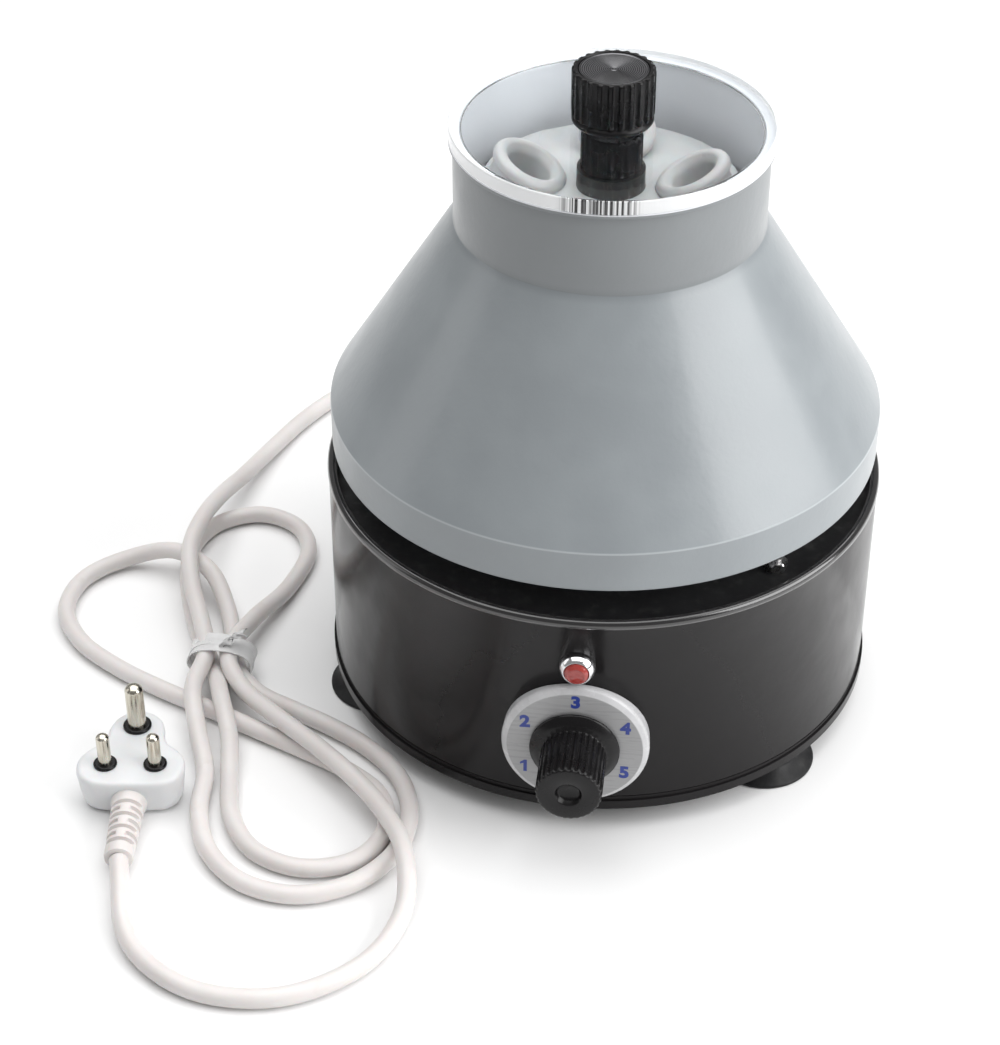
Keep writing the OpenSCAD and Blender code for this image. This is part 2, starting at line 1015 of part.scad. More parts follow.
// Wire-wound dropper on a ceramic tube, with its tapping bands
module speed_resistor() {
    tube_r = 9;
    tube_l = 70;
    axis_h = 17;
    color("#b9a98c")
    translate([66, 10 - tube_l / 2, base_z + sheet_t + axis_h])
        rotate([-90, 0, 0])
            difference() {
                union() {
                    cylinder(r = tube_r, h = tube_l);
                    for (i = [0 : 4])
                        translate([0, 0, 5 + i * 14.5])
                            cylinder(r = tube_r + 1.2, h = 2);
                    for (z = [0, tube_l - 3])
                        translate([-5, 0, z])
                            cube([10, axis_h, 3]);
                }
                translate([0, 0, -1])
                    cylinder(r = 4, h = tube_l + 2);
            }
}

module terminal_block() {
    color("#e9e5d6")
    translate([-20, 70, base_z + sheet_t])
        difference() {
            cube([40, 14, 14]);
            for (i = [0 : 3])
                translate([5 + i * 10, 7, 6])
                    cylinder(r = 2.4, h = 20, $fn = 48);
        }
}

module earth_stud() {
    color("#c9b26a")
    translate([-60, 55, base_z + sheet_t]) {
        cylinder(r = 2, h = 16, $fn = 48);
        translate([0, 0, 4])
            cylinder(r = 4, h = 3, $fn = 6);
    }
}

// ---- Lead and plug ----

module cord_gland() {
    color("#202022")
    translate([0, base_r, gland_z])
        rotate([-90, 0, 0])
            rotate_extrude()
                polygon([
                    [0, -7], [7.5, -7], [7.5, -1.6], [6, -1.6], [6, 0.4], [9, 0.4],
                    [9, 3], [7.4, 4.5], [5.2, gland_len], [0, gland_len]
                ]);
}

// Tangent, sideways direction and ring of points of the lead at route point i
function unit(v) = v / norm(v);
function tangent(i) =
    let (last = len(CORD_ROUTE) - 1)
    i == 0 ? [0, 1, 0] :
    i == last ? [-sin(plug_turn), cos(plug_turn), 0] :
    unit(CORD_ROUTE[i + 1] - CORD_ROUTE[i - 1]);
function ring_points(i, sides) =
    let (t = tangent(i), n = unit(cross(t, [0, 0, 1])), b = cross(n, t))
    [for (k = [0 : sides - 1])
        CORD_ROUTE[i] + cord_d / 2 * (cos(k * 360 / sides) * n + sin(k * 360 / sides) * b)];

module mains_cord() {
    sides = 10;
    rings = len(CORD_ROUTE);
    points = [for (i = [0 : rings - 1]) each ring_points(i, sides)];
    walls = [for (i = [0 : rings - 2], k = [0 : sides - 1])
        let (next = (k + 1) % sides)
        [i * sides + k, i * sides + next, (i + 1) * sides + next, (i + 1) * sides + k]];
    first_cap = [for (k = [sides - 1 : -1 : 0]) k];
    last_cap = [for (k = [0 : sides - 1]) (rings - 1) * sides + k];
    color("#e8e4dc")
    polyhedron(points = points, faces = concat(walls, [first_cap, last_cap]), convexity = 10);
}

// Flat band wound round the tied strands
module cord_tie() {
    band_w = 6;
    inner_w = 24;
    inner_h = tied_over + lay + 0.4 - tie_t;
    color("#f0f0f2")
    translate([-150, -34 + band_w / 2, 0])
        rotate([90, 0, 0])
            linear_extrude(height = band_w)
                difference() {
                    translate([-inner_w / 2 - tie_t, 0])
                        square([inner_w + 2 * tie_t, inner_h + 2 * tie_t]);
                    translate([-inner_w / 2, tie_t])
                        square([inner_w, inner_h]);
                }
}

// The plug lies on its back with its pins up; its own frame has the earth pin towards +Y
module plug_frame() {
    translate([plug_x, plug_y, 0])
        rotate([0, 0, plug_turn])
            children();
}

module pin_places() {
    for (side = [-1, 1])
        translate([side * pin_spacing / 2, 0, 0])
            children(0);
    translate([0, earth_offset, 0])
        children(1);
}

module plug_body() {
    color("#eeeff0")
    plug_frame()
        difference() {
            hull() {
                for (side = [-1, 1])
                    translate([side * pin_spacing / 2, 0, 0]) {
                        translate([0, 0, 2])
                            cylinder(r = plug_lobe_r, h = plug_t - 3, $fn = 32);
                        cylinder(r = plug_lobe_r - 1.5, h = plug_t, $fn = 32);
                    }
                translate([0, earth_offset - 1, 0]) {
                    translate([0, 0, 2])
                        cylinder(r = plug_lobe_r - 1, h = plug_t - 3, $fn = 32);
                    cylinder(r = plug_lobe_r - 2.5, h = plug_t, $fn = 32);
                }
            }
            translate([0, 0, plug_t - pin_root_len])
                pin_places() {
                    cylinder(r = line_pin_r - pin_step + 0.02, h = 10, $fn = 48);
                    cylinder(r = earth_pin_r - pin_step + 0.02, h = 10, $fn = 48);
                }
        }
}

module plug_sleeve() {
    color("#eae7e0")
    plug_frame()
        translate([0, -plug_lobe_r, lead_z])
            rotate([90, 0, 0])
                difference() {
                    cylinder(r1 = 6.2, r2 = 5.5, h = plug_sleeve_len);
                    for (i = [0 : 3])
                        translate([0, 0, 4 + i * 5])
                            ring(8, 4.9, 2);
                }
}

// A round pin with a thinner root that is moulded into the plug's body
module plug_pin(r, length) {
    cylinder(r = r - pin_step, h = pin_root_len + collar_h + eps, $fn = 48);
    translate([0, 0, pin_root_len + collar_h])
        cylinder(r = r, h = length - collar_h, $fn = 48);
}

module plug_pins() {
    color("#c4bda6")
    plug_frame()
        translate([0, 0, plug_t - pin_root_len])
            pin_places() {
                plug_pin(line_pin_r, line_pin_len);
                plug_pin(earth_pin_r, earth_pin_len);
            }
}

module plug_collars() {
    color("#1d1d1f")
    plug_frame()
        translate([0, 0, plug_t])
            pin_places() {
                ring(4.5, line_pin_r - pin_step + 0.02, collar_h);
                ring(5.5, earth_pin_r - pin_step + 0.02, collar_h);
            }
}

base_shell();
deck_plate();
bottom_cover();
cover_screws();
foot(1);  // foot_1
foot(2);  // foot_2
foot(3);  // foot_3
foot_screws();
bowl();
bowl_neck();
bowl_floor();
bowl_studs();
bowl_nuts();
lid_disc();
lid_knob();
lid_knob_insert();
lid_knob_screw();
rotor_head();
rotor_sockets();
tube_sleeve(1);  // tube_sleeve_1
tube_sleeve(2);  // tube_sleeve_2
tube_sleeve(3);  // tube_sleeve_3
tube_sleeve(4);  // tube_sleeve_4
rotor_nut();
rotor_seat();
dial_plate();
speed_knob();
switch_body();
switch_shaft();
switch_contacts();
lamp_bezel();
lamp_lens();
lamp_body();
panel_nuts();
motor_shaft();
upper_bracket();
lower_bracket();
stator_core();
field_coils();
armature_core();
armature_winding();
commutator();
motor_fan();
bearing_outer_races();
bearing_inner_races();
brush_holders();
carbon_brushes();
motor_bolts();
rubber_mounts();
mount_screws();
speed_resistor();
terminal_block();
earth_stud();
cord_gland();
mains_cord();
cord_tie();
plug_body();
plug_sleeve();
plug_pins();
plug_collars();
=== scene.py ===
import math

import bpy
from mathutils import Matrix, Vector


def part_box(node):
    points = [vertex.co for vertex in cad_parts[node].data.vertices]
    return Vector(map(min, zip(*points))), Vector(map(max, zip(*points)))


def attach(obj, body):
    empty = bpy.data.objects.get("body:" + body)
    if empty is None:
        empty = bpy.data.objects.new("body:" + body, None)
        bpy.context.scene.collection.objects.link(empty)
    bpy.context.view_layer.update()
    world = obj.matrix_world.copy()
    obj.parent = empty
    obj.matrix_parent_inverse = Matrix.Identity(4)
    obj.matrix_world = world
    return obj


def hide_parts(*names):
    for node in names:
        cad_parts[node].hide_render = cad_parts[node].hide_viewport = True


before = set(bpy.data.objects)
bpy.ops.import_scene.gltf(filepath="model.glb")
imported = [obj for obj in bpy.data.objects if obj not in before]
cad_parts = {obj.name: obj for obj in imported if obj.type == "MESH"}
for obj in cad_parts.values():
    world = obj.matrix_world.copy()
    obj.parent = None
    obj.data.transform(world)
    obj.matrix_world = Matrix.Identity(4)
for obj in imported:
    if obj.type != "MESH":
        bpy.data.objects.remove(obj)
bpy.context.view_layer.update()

# Shapes are drawn in millimetres, and MM turns them into metres.
# The camera, the lights and the materials' bumps and heights are in metres.
MM = 0.001

# Sizes from part.scad: the drum's radius, and the heights where the bowl's band and cone end
BASE_R = 107
BAND_TOP = 128
NECK_Z = 204.5


def foot_and_top(node):
    """A CAD node's lowest and highest height, in millimetres."""
    low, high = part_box(node)
    return low[2] / MM, high[2] / MM


# ---- Camera ----

def aim_camera():
    """The photo's view, from a camera fitted to the outlines of the drum, the bowl and the lid."""
    data = bpy.data.cameras.new("camera")
    data.lens = 90.9
    data.sensor_width = 36
    data.sensor_fit = "HORIZONTAL"
    data.clip_start = 0.05
    data.clip_end = 20
    camera = bpy.data.objects.new("camera", data)
    bpy.context.collection.objects.link(camera)
    place = Vector((0.0522, -0.8078, 0.6632))
    target = Vector((-0.0404, 0, 0.061))
    camera.location = place
    camera.rotation_euler = (target - place).to_track_quat("-Z", "Y").to_euler()
    bpy.context.scene.camera = camera


aim_camera()


# ---- Materials ----

class Finish:
    """A Principled material, with short calls for the nodes that feed it."""

    def __init__(self, name, colour, roughness, **sockets):
        self.material = bpy.data.materials.new(name)
        self.material.use_nodes = True
        self.tree = self.material.node_tree
        self.shader = self.tree.nodes["Principled BSDF"]
        self.shader.inputs["Base Color"].default_value = (*colour, 1)
        self.shader.inputs["Roughness"].default_value = roughness
        for socket, value in sockets.items():
            self.shader.inputs[socket.replace("_", " ")].default_value = value
        self.place = self.add("ShaderNodeTexCoord").outputs["Object"]
        self.last_bump = None

    def add(self, kind, **settings):
        node = self.tree.nodes.new(kind)
        for key, value in settings.items():
            setattr(node, key, value)
        return node

    def join(self, output, target):
        self.tree.links.new(output, target)

    def stretched(self, scale, turn=(0, 0, 0)):
        """The object's own coordinates, stretched and turned, for grain that runs one way."""
        node = self.add("ShaderNodeMapping")
        node.inputs["Scale"].default_value = scale
        node.inputs["Rotation"].default_value = turn
        self.join(self.place, node.inputs["Vector"])
        return node.outputs["Vector"]

    def noise(self, scale, detail, vector=None, distortion=0):
        node = self.add("ShaderNodeTexNoise")
        node.inputs["Scale"].default_value = scale
        node.inputs["Detail"].default_value = detail
        node.inputs["Distortion"].default_value = distortion
        self.join(vector or self.place, node.inputs["Vector"])
        return node.outputs["Fac"]

    def cells(self, scale, vector=None):
        node = self.add("ShaderNodeTexVoronoi")
        node.inputs["Scale"].default_value = scale
        self.join(vector or self.place, node.inputs["Vector"])
        return node.outputs["Distance"]

    def axis(self, letter):
        node = self.add("ShaderNodeSeparateXYZ")
        self.join(self.place, node.inputs[0])
        return node.outputs[letter]

    def spread(self, value, low, high, to_low=0.0, to_high=1.0):
        """The value from low to high, mapped smoothly to other limits."""
        node = self.add("ShaderNodeMapRange", interpolation_type="SMOOTHSTEP")
        node.inputs["From Min"].default_value = low
        node.inputs["From Max"].default_value = high
        node.inputs["To Min"].default_value = to_low
        node.inputs["To Max"].default_value = to_high
        self.join(value, node.inputs["Value"])
        return node.outputs["Result"]

    def calculate(self, operation, one, other=0.0):
        """A Math node on two inputs, each a number or another node's output."""
        node = self.add("ShaderNodeMath", operation=operation)
        for value, target in ((one, node.inputs[0]), (other, node.inputs[1])):
            if isinstance(value, (int, float)):
                target.default_value = value
            else:
                self.join(value, target)
        return node.outputs["Value"]

    def patches(self, scale, detail, to_low=0.0, to_high=1.0):
        """Noise with its middle spread out, for mottled colour or roughness."""
        return self.spread(self.noise(scale, detail), 0.3, 0.7, to_low, to_high)

    def times(self, one, other):
        """The product of two inputs."""
        return self.calculate("MULTIPLY", one, other)

    def from_z_axis(self):
        """Distance from the object's Z axis, in metres."""
        x_squared = self.calculate("POWER", self.axis("X"), 2)
        y_squared = self.calculate("POWER", self.axis("Y"), 2)
        return self.calculate("POWER", self.calculate("ADD", x_squared, y_squared), 0.5)

    def colours(self, factor, one, other):
        """One colour where the factor is 0, the other where it is 1."""
        node = self.add("ShaderNodeMix", data_type="RGBA")
        for value, target in ((one, node.inputs[6]), (other, node.inputs[7])):
            if isinstance(value, tuple):
                target.default_value = (*value, 1)
            else:
                self.join(value, target)
        self.join(factor, node.inputs[0])
        return node.outputs[2]

    def paint(self, output):
        self.join(output, self.shader.inputs["Base Color"])

    def rough(self, output):
        self.join(output, self.shader.inputs["Roughness"])

    def bump(self, height, depth):
        """Adds a layer of relief, its depth in metres."""
        node = self.add("ShaderNodeBump")
        node.inputs["Strength"].default_value = 1
        node.inputs["Distance"].default_value = depth
        self.join(height, node.inputs["Height"])
        if self.last_bump:
            self.join(self.last_bump, node.inputs["Normal"])
        self.last_bump = node.outputs["Normal"]
        self.join(self.last_bump, self.shader.inputs["Normal"])


def black_enamel():
    """Glossy stove enamel with soft orange peel and faint smudges."""
    f = Finish("black_enamel", (0.012, 0.011, 0.0115), 0.18, Specular_IOR_Level=0.16)
    smudges = f.patches(14, 4)
    f.paint(f.colours(smudges, (0.0105, 0.0095, 0.01), (0.0145, 0.0135, 0.014)))
    f.rough(f.spread(f.noise(38, 3), 0.3, 0.75, 0.12, 0.24))
    f.bump(f.noise(330, 1), 0.00002)
    f.bump(f.noise(40, 2), 0.0002)
    return f.material


def rim_enamel():
    """The drum's rolled rim: thicker, shinier enamel, rubbed through in specks."""
    f = Finish("rim_enamel", (0.015, 0.014, 0.0145), 0.12, Coat_Weight=1.0, Coat_Roughness=0.08)
    worn = f.spread(f.noise(240, 6), 0.66, 0.74)
    f.paint(f.colours(f.times(worn, 0.5), (0.015, 0.014, 0.0145), (0.09, 0.088, 0.085)))
    f.rough(f.spread(f.noise(120, 4), 0.3, 0.75, 0.1, 0.24))
    f.bump(f.noise(120, 3), 0.0001)
    return f.material


def grey_enamel():
    """Blue-grey enamel: orange peel, painted shade on the neck and in the crease under it, and a painted
    highlight line at the band's top.
    """
    f = Finish("grey_enamel", (0.26, 0.285, 0.30), 0.34, Coat_Weight=0.25, Coat_Roughness=0.16)
    mottle = f.colours(f.patches(30, 5), (0.24, 0.261, 0.275), (0.264, 0.287, 0.301))
    speck = f.spread(f.noise(1900, 2), 0.66, 0.8)
    specked = f.colours(f.times(speck, 0.3), mottle, (0.20, 0.23, 0.24))

    height = f.axis("Z")
    neck = NECK_Z * MM
    # Painted shade: the neck above its crease is painted a darker grey.
    on_neck = f.spread(height, neck - 0.0001, neck + 0.0002)
    # Painted shade: a darker band 3 mm each side of the neck's crease.
    grime_and_painted_shade = f.times(f.spread(height, neck - 0.003, neck), f.spread(height, neck + 0.003, neck + 0.0001))
    with_neck_shade = f.colours(f.times(on_neck, 0.5), specked, (0.145, 0.15, 0.152))
    shaded = f.colours(f.times(grime_and_painted_shade, 0.3), with_neck_shade, (0.13, 0.145, 0.155))

    band = BAND_TOP * MM
    # Painted highlight: a pale line along the crease at the band's top.
    line = f.times(f.spread(height, band - 0.0006, band), f.spread(height, band + 0.0006, band))
    f.paint(f.colours(f.times(line, 0.6), shaded, (0.50, 0.53, 0.55)))
    f.rough(f.spread(f.noise(60, 4), 0.3, 0.75, 0.29, 0.40))
    f.bump(f.noise(380, 2), 0.00007)
    f.bump(f.noise(28, 2), 0.0003)
    return f.material


def pale_paint():
    """Pale grey paint inside the bowl, dulled by cleaning."""
    f = Finish("pale_paint", (0.70, 0.71, 0.74), 0.45)
    f.paint(f.colours(f.patches(26, 4), (0.68, 0.69, 0.72), (0.73, 0.74, 0.77)))
    f.rough(f.patches(80, 4, 0.38, 0.55))
    f.bump(f.noise(380, 2), 0.00007)
    return f.material


def dark_paint():
    """Thin matt paint inside the housing, with dust on it."""
    f = Finish("dark_paint", (0.02, 0.02, 0.021), 0.6)
    f.paint(f.colours(f.spread(f.noise(220, 5), 0.5, 0.8), (0.012, 0.012, 0.013), (0.04, 0.04, 0.039)))
    f.rough(f.patches(90, 3, 0.5, 0.7))
    f.bump(f.noise(700, 3), 0.00008)
    return f.material


def knob_black():
    """Moulded black plastic with a fine spark-eroded grain and scuffs in patches."""
    f = Finish("knob_black", (0.008, 0.0075, 0.008), 0.24, Specular_IOR_Level=0.26)
    scuff = f.spread(f.noise(180, 5), 0.6, 0.8)
    f.paint(f.colours(f.times(scuff, 0.25), (0.0065, 0.006, 0.0065), (0.022, 0.021, 0.021)))
    f.rough(f.spread(f.noise(120, 4), 0.3, 0.75, 0.2, 0.32))
    f.bump(f.noise(420, 2), 0.00001)
    return f.material


def spun_dark():
    """Spun metal of the knob's insert: rings about its axis, and two paler wedges that are a painted sheen
    of a turned face.
    """
    f = Finish("spun_dark", (0.08, 0.08, 0.083), 0.3, Metallic=1.0, Anisotropic=0.85)
    grain = f.add("ShaderNodeTangent", direction_type="RADIAL", axis="Z")
    f.join(grain.outputs["Tangent"], f.shader.inputs["Tangent"])
    rings = f.add("ShaderNodeTexWave", wave_type="RINGS", rings_direction="Z")
    rings.inputs["Scale"].default_value = 420
    rings.inputs["Distortion"].default_value = 0.6
    rings.inputs["Detail"].default_value = 2
    f.join(f.place, rings.inputs["Vector"])
    fine = rings.outputs["Fac"]
    turned = f.colours(fine, (0.025, 0.025, 0.027), (0.11, 0.11, 0.115))
    # Painted sheen: two opposite paler wedges round the axis, as a turned face shows under light.
    round_the_axis = f.add("ShaderNodeTexGradient", gradient_type="RADIAL")
    f.join(f.place, round_the_axis.inputs["Vector"])
    wave = f.calculate("COSINE", f.times(round_the_axis.outputs["Fac"], 2 * math.tau))
    painted_sheen_wedges = f.spread(wave, 0.2, -1, 0, 0.6)
    f.paint(f.colours(painted_sheen_wedges, turned, (0.30, 0.30, 0.31)))
    f.rough(f.spread(fine, 0, 1, 0.25, 0.4))
    f.bump(fine, 0.00003)
    return f.material


def acrylic():
    """Clear cast sheet with hairline scratches. It lets lamps shine through it."""
    f = Finish("acrylic", (0.97, 0.985, 0.99), 0.02, Transmission_Weight=1.0, IOR=1.49)
    scratch = f.noise(90, 4, f.stretched((1, 14, 1), (0, 0, 0.5)), 1.5)
    other = f.noise(110, 4, f.stretched((12, 1, 1), (0, 0, 0.9)), 1.2)
    marks = f.calculate("ADD", f.spread(scratch, 0.64, 0.72), f.spread(other, 0.6, 0.7))
    f.rough(f.spread(marks, 0, 1, 0.015, 0.16))
    f.bump(f.noise(40, 2), 0.00005)
    clear = f.add("ShaderNodeBsdfTransparent")
    clear.inputs["Color"].default_value = (0.93, 0.95, 0.955, 1)
    rays = f.add("ShaderNodeLightPath")
    mixed = f.add("ShaderNodeMixShader")
    f.join(rays.outputs["Is Shadow Ray"], mixed.inputs[0])
    f.join(f.shader.outputs[0], mixed.inputs[1])
    f.join(clear.outputs[0], mixed.inputs[2])
    f.join(mixed.outputs[0], f.tree.nodes["Material Output"].inputs["Surface"])
    return f.material


def acrylic_edge():
    """The lid's sawn edge, painted pale and given a faint emission: a painted glow.

    The dark marks at its front are a painted reflection of the black nut seen through the edge.
    """
    f = Finish("acrylic_edge", (0.86, 0.87, 0.88), 0.18, Transmission_Weight=0.25, IOR=1.49)
    # Painted glow: a faint white emission on the pale edge.
    f.shader.inputs["Emission Color"].default_value = (1, 1, 1, 1)
    saw = f.noise(1500, 3, f.stretched((1, 0.2, 0)))
    beside = f.calculate("ABSOLUTE", f.axis("X"))
    # Painted reflection: near-black marks at the front of the edge, where the black nut would show through.
    at_front = f.times(f.spread(beside, 0.0155, 0.009), f.spread(f.axis("Y"), -0.045, -0.055))
    marks = f.times(f.spread(saw, 0.38, 0.56), at_front)
    f.paint(f.colours(marks, (0.86, 0.87, 0.88), (0.035, 0.034, 0.035)))
    # Painted glow: the emission fades out where the dark marks are.
    painted_glow = f.spread(marks, 0, 0.7, 0.12, 0)
    f.join(painted_glow, f.shader.inputs["Emission Strength"])
    f.bump(saw, 0.00004)
    return f.material


def milky_plastic():
    """Translucent white nylon of the rotor and its sleeves, with a black bush painted round the shaft."""
    f = Finish("milky_plastic", (0.44, 0.44, 0.44), 0.38, Subsurface_Weight=0.3, Subsurface_Scale=0.005)
    clouds = f.colours(f.patches(55, 4), (0.42, 0.42, 0.42), (0.48, 0.48, 0.48))
    bush = f.spread(f.from_z_axis(), 0.0127, 0.0126)
    f.paint(f.colours(bush, clouds, (0.012, 0.012, 0.012)))
    f.rough(f.patches(170, 3, 0.3, 0.46))
    f.bump(f.noise(420, 3), 0.00006)
    return f.material


def dial_grey():
    """Satin light-grey plate with a fine brushed grain."""
    f = Finish("dial_grey", (0.36, 0.36, 0.365), 0.28)
    grain = f.noise(900, 3, f.stretched((0.06, 1, 1)))
    f.paint(f.colours(grain, (0.345, 0.345, 0.35), (0.355, 0.355, 0.36)))
    f.rough(f.spread(grain, 0.3, 0.7, 0.26, 0.31))
    f.bump(grain, 0.0000015)
    return f.material


def dial_rim():
    """The dial's bevelled edge, a paler copy of the face's grey: a painted highlight."""
    # Painted highlight: the bevel's grey is paler than the face's.
    f = Finish("dial_rim", (0.52, 0.52, 0.53), 0.22)
    f.paint(f.colours(f.patches(160, 4), (0.50, 0.50, 0.51), (0.55, 0.55, 0.56)))
    f.rough(f.patches(220, 3, 0.18, 0.3))
    f.bump(f.noise(600, 2), 0.00002)
    return f.material


def dial_ink():
    """Screen-printed blue ink, a little uneven."""
    f = Finish("dial_ink", (0.020, 0.045, 0.27), 0.42)
    f.paint(f.colours(f.patches(1500, 3), (0.016, 0.036, 0.23), (0.026, 0.054, 0.31)))
    f.bump(f.noise(2500, 2), 0.00001)
    return f.material


def bright_chrome():
    f = Finish("bright_chrome", (0.82, 0.82, 0.84), 0.07, Metallic=1.0)
    f.paint(f.colours(f.spread(f.noise(420, 4), 0.45, 0.8), (0.84, 0.84, 0.86), (0.62, 0.61, 0.60)))
    f.rough(f.spread(f.noise(300, 5), 0.35, 0.8, 0.05, 0.2))
    f.bump(f.noise(260, 3), 0.00003)
    return f.material


def red_lens():
    """Red acetate lens of a lamp that is off."""
    f = Finish(
        "red_lens", (0.34, 0.035, 0.03), 0.16,
        Coat_Weight=0.5, Subsurface_Weight=0.25, Subsurface_Scale=0.002,
    )
    f.paint(f.colours(f.noise(380, 3), (0.27, 0.025, 0.022), (0.40, 0.055, 0.045)))
    f.bump(f.cells(900), 0.00008)
    return f.material


def zinc_steel():
    """Bright zinc plating of nuts, studs and screws."""
    f = Finish("zinc_steel", (0.56, 0.56, 0.57), 0.28, Metallic=1.0)
    f.paint(f.colours(f.spread(f.noise(300, 5), 0.35, 0.75), (0.60, 0.60, 0.61), (0.40, 0.39, 0.37)))
    f.rough(f.spread(f.noise(650, 4), 0.3, 0.75, 0.22, 0.42))
    f.bump(f.noise(900, 3), 0.00004)
    return f.material


def machined_steel():
    """Ground and turned steel, with grain round the axis."""
    f = Finish("machined_steel", (0.42, 0.42, 0.43), 0.25, Metallic=1.0)
    grain = f.noise(1400, 2, f.stretched((0.05, 0.05, 1)))
    f.paint(f.colours(grain, (0.34, 0.34, 0.35), (0.52, 0.52, 0.53)))
    f.rough(f.spread(grain, 0.3, 0.7, 0.2, 0.36))
    f.bump(grain, 0.00003)
    return f.material


def cast_metal():
    """Sand-cast aluminium of the motor's end plates."""
    f = Finish("cast_metal", (0.40, 0.40, 0.41), 0.5, Metallic=0.9)
    f.paint(f.colours(f.patches(350, 5), (0.30, 0.30, 0.31), (0.47, 0.47, 0.48)))
    f.rough(f.patches(500, 3, 0.42, 0.62))
    f.bump(f.cells(1300), 0.00015)
    return f.material


def old_brass():
    f = Finish("old_brass", (0.46, 0.32, 0.13), 0.32, Metallic=1.0)
    f.paint(f.colours(f.spread(f.noise(260, 5), 0.35, 0.75), (0.52, 0.37, 0.15), (0.26, 0.17, 0.08)))
    f.rough(f.patches(420, 4, 0.26, 0.45))
    f.bump(f.noise(800, 2), 0.00003)
    return f.material


def varnished_copper():
    """Enamelled copper wire, wound turn beside turn."""
    f = Finish("varnished_copper", (0.34, 0.12, 0.045), 0.3, Metallic=0.6, Coat_Weight=0.5)
    turns = f.noise(1300, 2, f.stretched((1, 1, 0.15)))
    f.paint(f.colours(turns, (0.22, 0.07, 0.025), (0.45, 0.18, 0.07)))
    f.bump(turns, 0.0002)
    return f.material


def brown_phenolic():
    f = Finish("brown_phenolic", (0.09, 0.045, 0.025), 0.4)
    f.paint(f.colours(f.noise(500, 5), (0.06, 0.03, 0.018), (0.12, 0.06, 0.033)))
    f.rough(f.patches(300, 3, 0.32, 0.5))
    f.bump(f.noise(900, 2), 0.00005)
    return f.material


def unglazed_ceramic():
    f = Finish("unglazed_ceramic", (0.62, 0.56, 0.44), 0.7)
    f.paint(f.colours(f.patches(160, 5), (0.56, 0.50, 0.39), (0.68, 0.62, 0.50)))
    f.bump(f.noise(1100, 3), 0.0001)
    return f.material


def soft_rubber():
    """Black rubber with a chalky bloom."""
    f = Finish("soft_rubber", (0.008, 0.008, 0.009), 0.5, Specular_IOR_Level=0.3)
    f.paint(f.colours(f.spread(f.noise(180, 5), 0.45, 0.8), (0.006, 0.006, 0.007), (0.02, 0.02, 0.02)))
    f.rough(f.patches(120, 3, 0.4, 0.6))
    f.bump(f.noise(1000, 3), 0.00006)
    return f.material


def cord_pvc():
    """Off-white lead sheath: slightly waxy, with handling marks."""
    f = Finish("cord_pvc", (0.71, 0.675, 0.66), 0.42, Subsurface_Weight=0.12, Subsurface_Scale=0.002)
    clean = f.colours(f.patches(38, 4), (0.69, 0.655, 0.64), (0.74, 0.71, 0.695))
    grime_and_painted_shade = f.spread(f.noise(120, 5), 0.6, 0.8)
    f.paint(f.colours(f.times(grime_and_painted_shade, 0.25), clean, (0.54, 0.49, 0.45)))
    f.rough(f.patches(90, 4, 0.36, 0.5))
    f.bump(f.noise(520, 3), 0.00006)
    return f.material


def plug_white():
    f = Finish("plug_white", (0.72, 0.73, 0.74), 0.36, Subsurface_Weight=0.12, Subsurface_Scale=0.003)
    f.paint(f.colours(f.patches(45, 4), (0.70, 0.71, 0.72), (0.745, 0.755, 0.765)))
    f.rough(f.patches(140, 4, 0.3, 0.44))
    f.bump(f.noise(900, 2), 0.00004)
    return f.material


def pin_metal():
    """Nickel-plated brass pins, drawn lengthwise and rubbed by sockets."""
    f = Finish("pin_metal", (0.58, 0.54, 0.45), 0.2, Metallic=1.0)
    drawn = f.noise(1500, 3, f.stretched((1, 1, 0.05)))
    f.paint(f.colours(f.spread(drawn, 0.3, 0.7), (0.50, 0.46, 0.38), (0.68, 0.65, 0.57)))
    f.rough(f.spread(drawn, 0.3, 0.7, 0.14, 0.3))
    f.bump(drawn, 0.00003)
    return f.material


def clear_film():
    """Thin clear plastic of the tie."""
    f = Finish("clear_film", (0.93, 0.93, 0.93), 0.12, Transmission_Weight=0.35, IOR=1.2)
    f.rough(f.patches(300, 4, 0.08, 0.28))
    f.bump(f.noise(420, 4), 0.0002)
    return f.material


def carbon_block():
    f = Finish("carbon_block", (0.02, 0.02, 0.021), 0.55)
    f.paint(f.colours(f.noise(900, 3), (0.012, 0.012, 0.013), (0.035, 0.035, 0.036)))
    f.bump(f.noise(1500, 2), 0.00005)
    return f.material


def white_floor():
    f = Finish("white_floor", (0.9, 0.9, 0.9), 0.6)
    f.paint(f.colours(f.noise(3, 2), (0.89, 0.89, 0.89), (0.91, 0.91, 0.91)))
    return f.material


BLACK_ENAMEL = black_enamel()
RIM_ENAMEL = rim_enamel()
GREY_ENAMEL = grey_enamel()
PALE_PAINT = pale_paint()
DARK_PAINT = dark_paint()
KNOB_BLACK = knob_black()
SPUN_DARK = spun_dark()
ACRYLIC = acrylic()
ACRYLIC_EDGE = acrylic_edge()
MILKY = milky_plastic()
DIAL_GREY = dial_grey()
DIAL_RIM = dial_rim()
DIAL_INK = dial_ink()
CHROME = bright_chrome()
RED_LENS = red_lens()
ZINC = zinc_steel()
STEEL = machined_steel()
CAST = cast_metal()
BRASS = old_brass()
COPPER = varnished_copper()
PHENOLIC = brown_phenolic()
CERAMIC = unglazed_ceramic()
RUBBER = soft_rubber()
CORD_PVC = cord_pvc()
PLUG_WHITE = plug_white()
PIN_METAL = pin_metal()
CLEAR_FILM = clear_film()
CARBON = carbon_block()

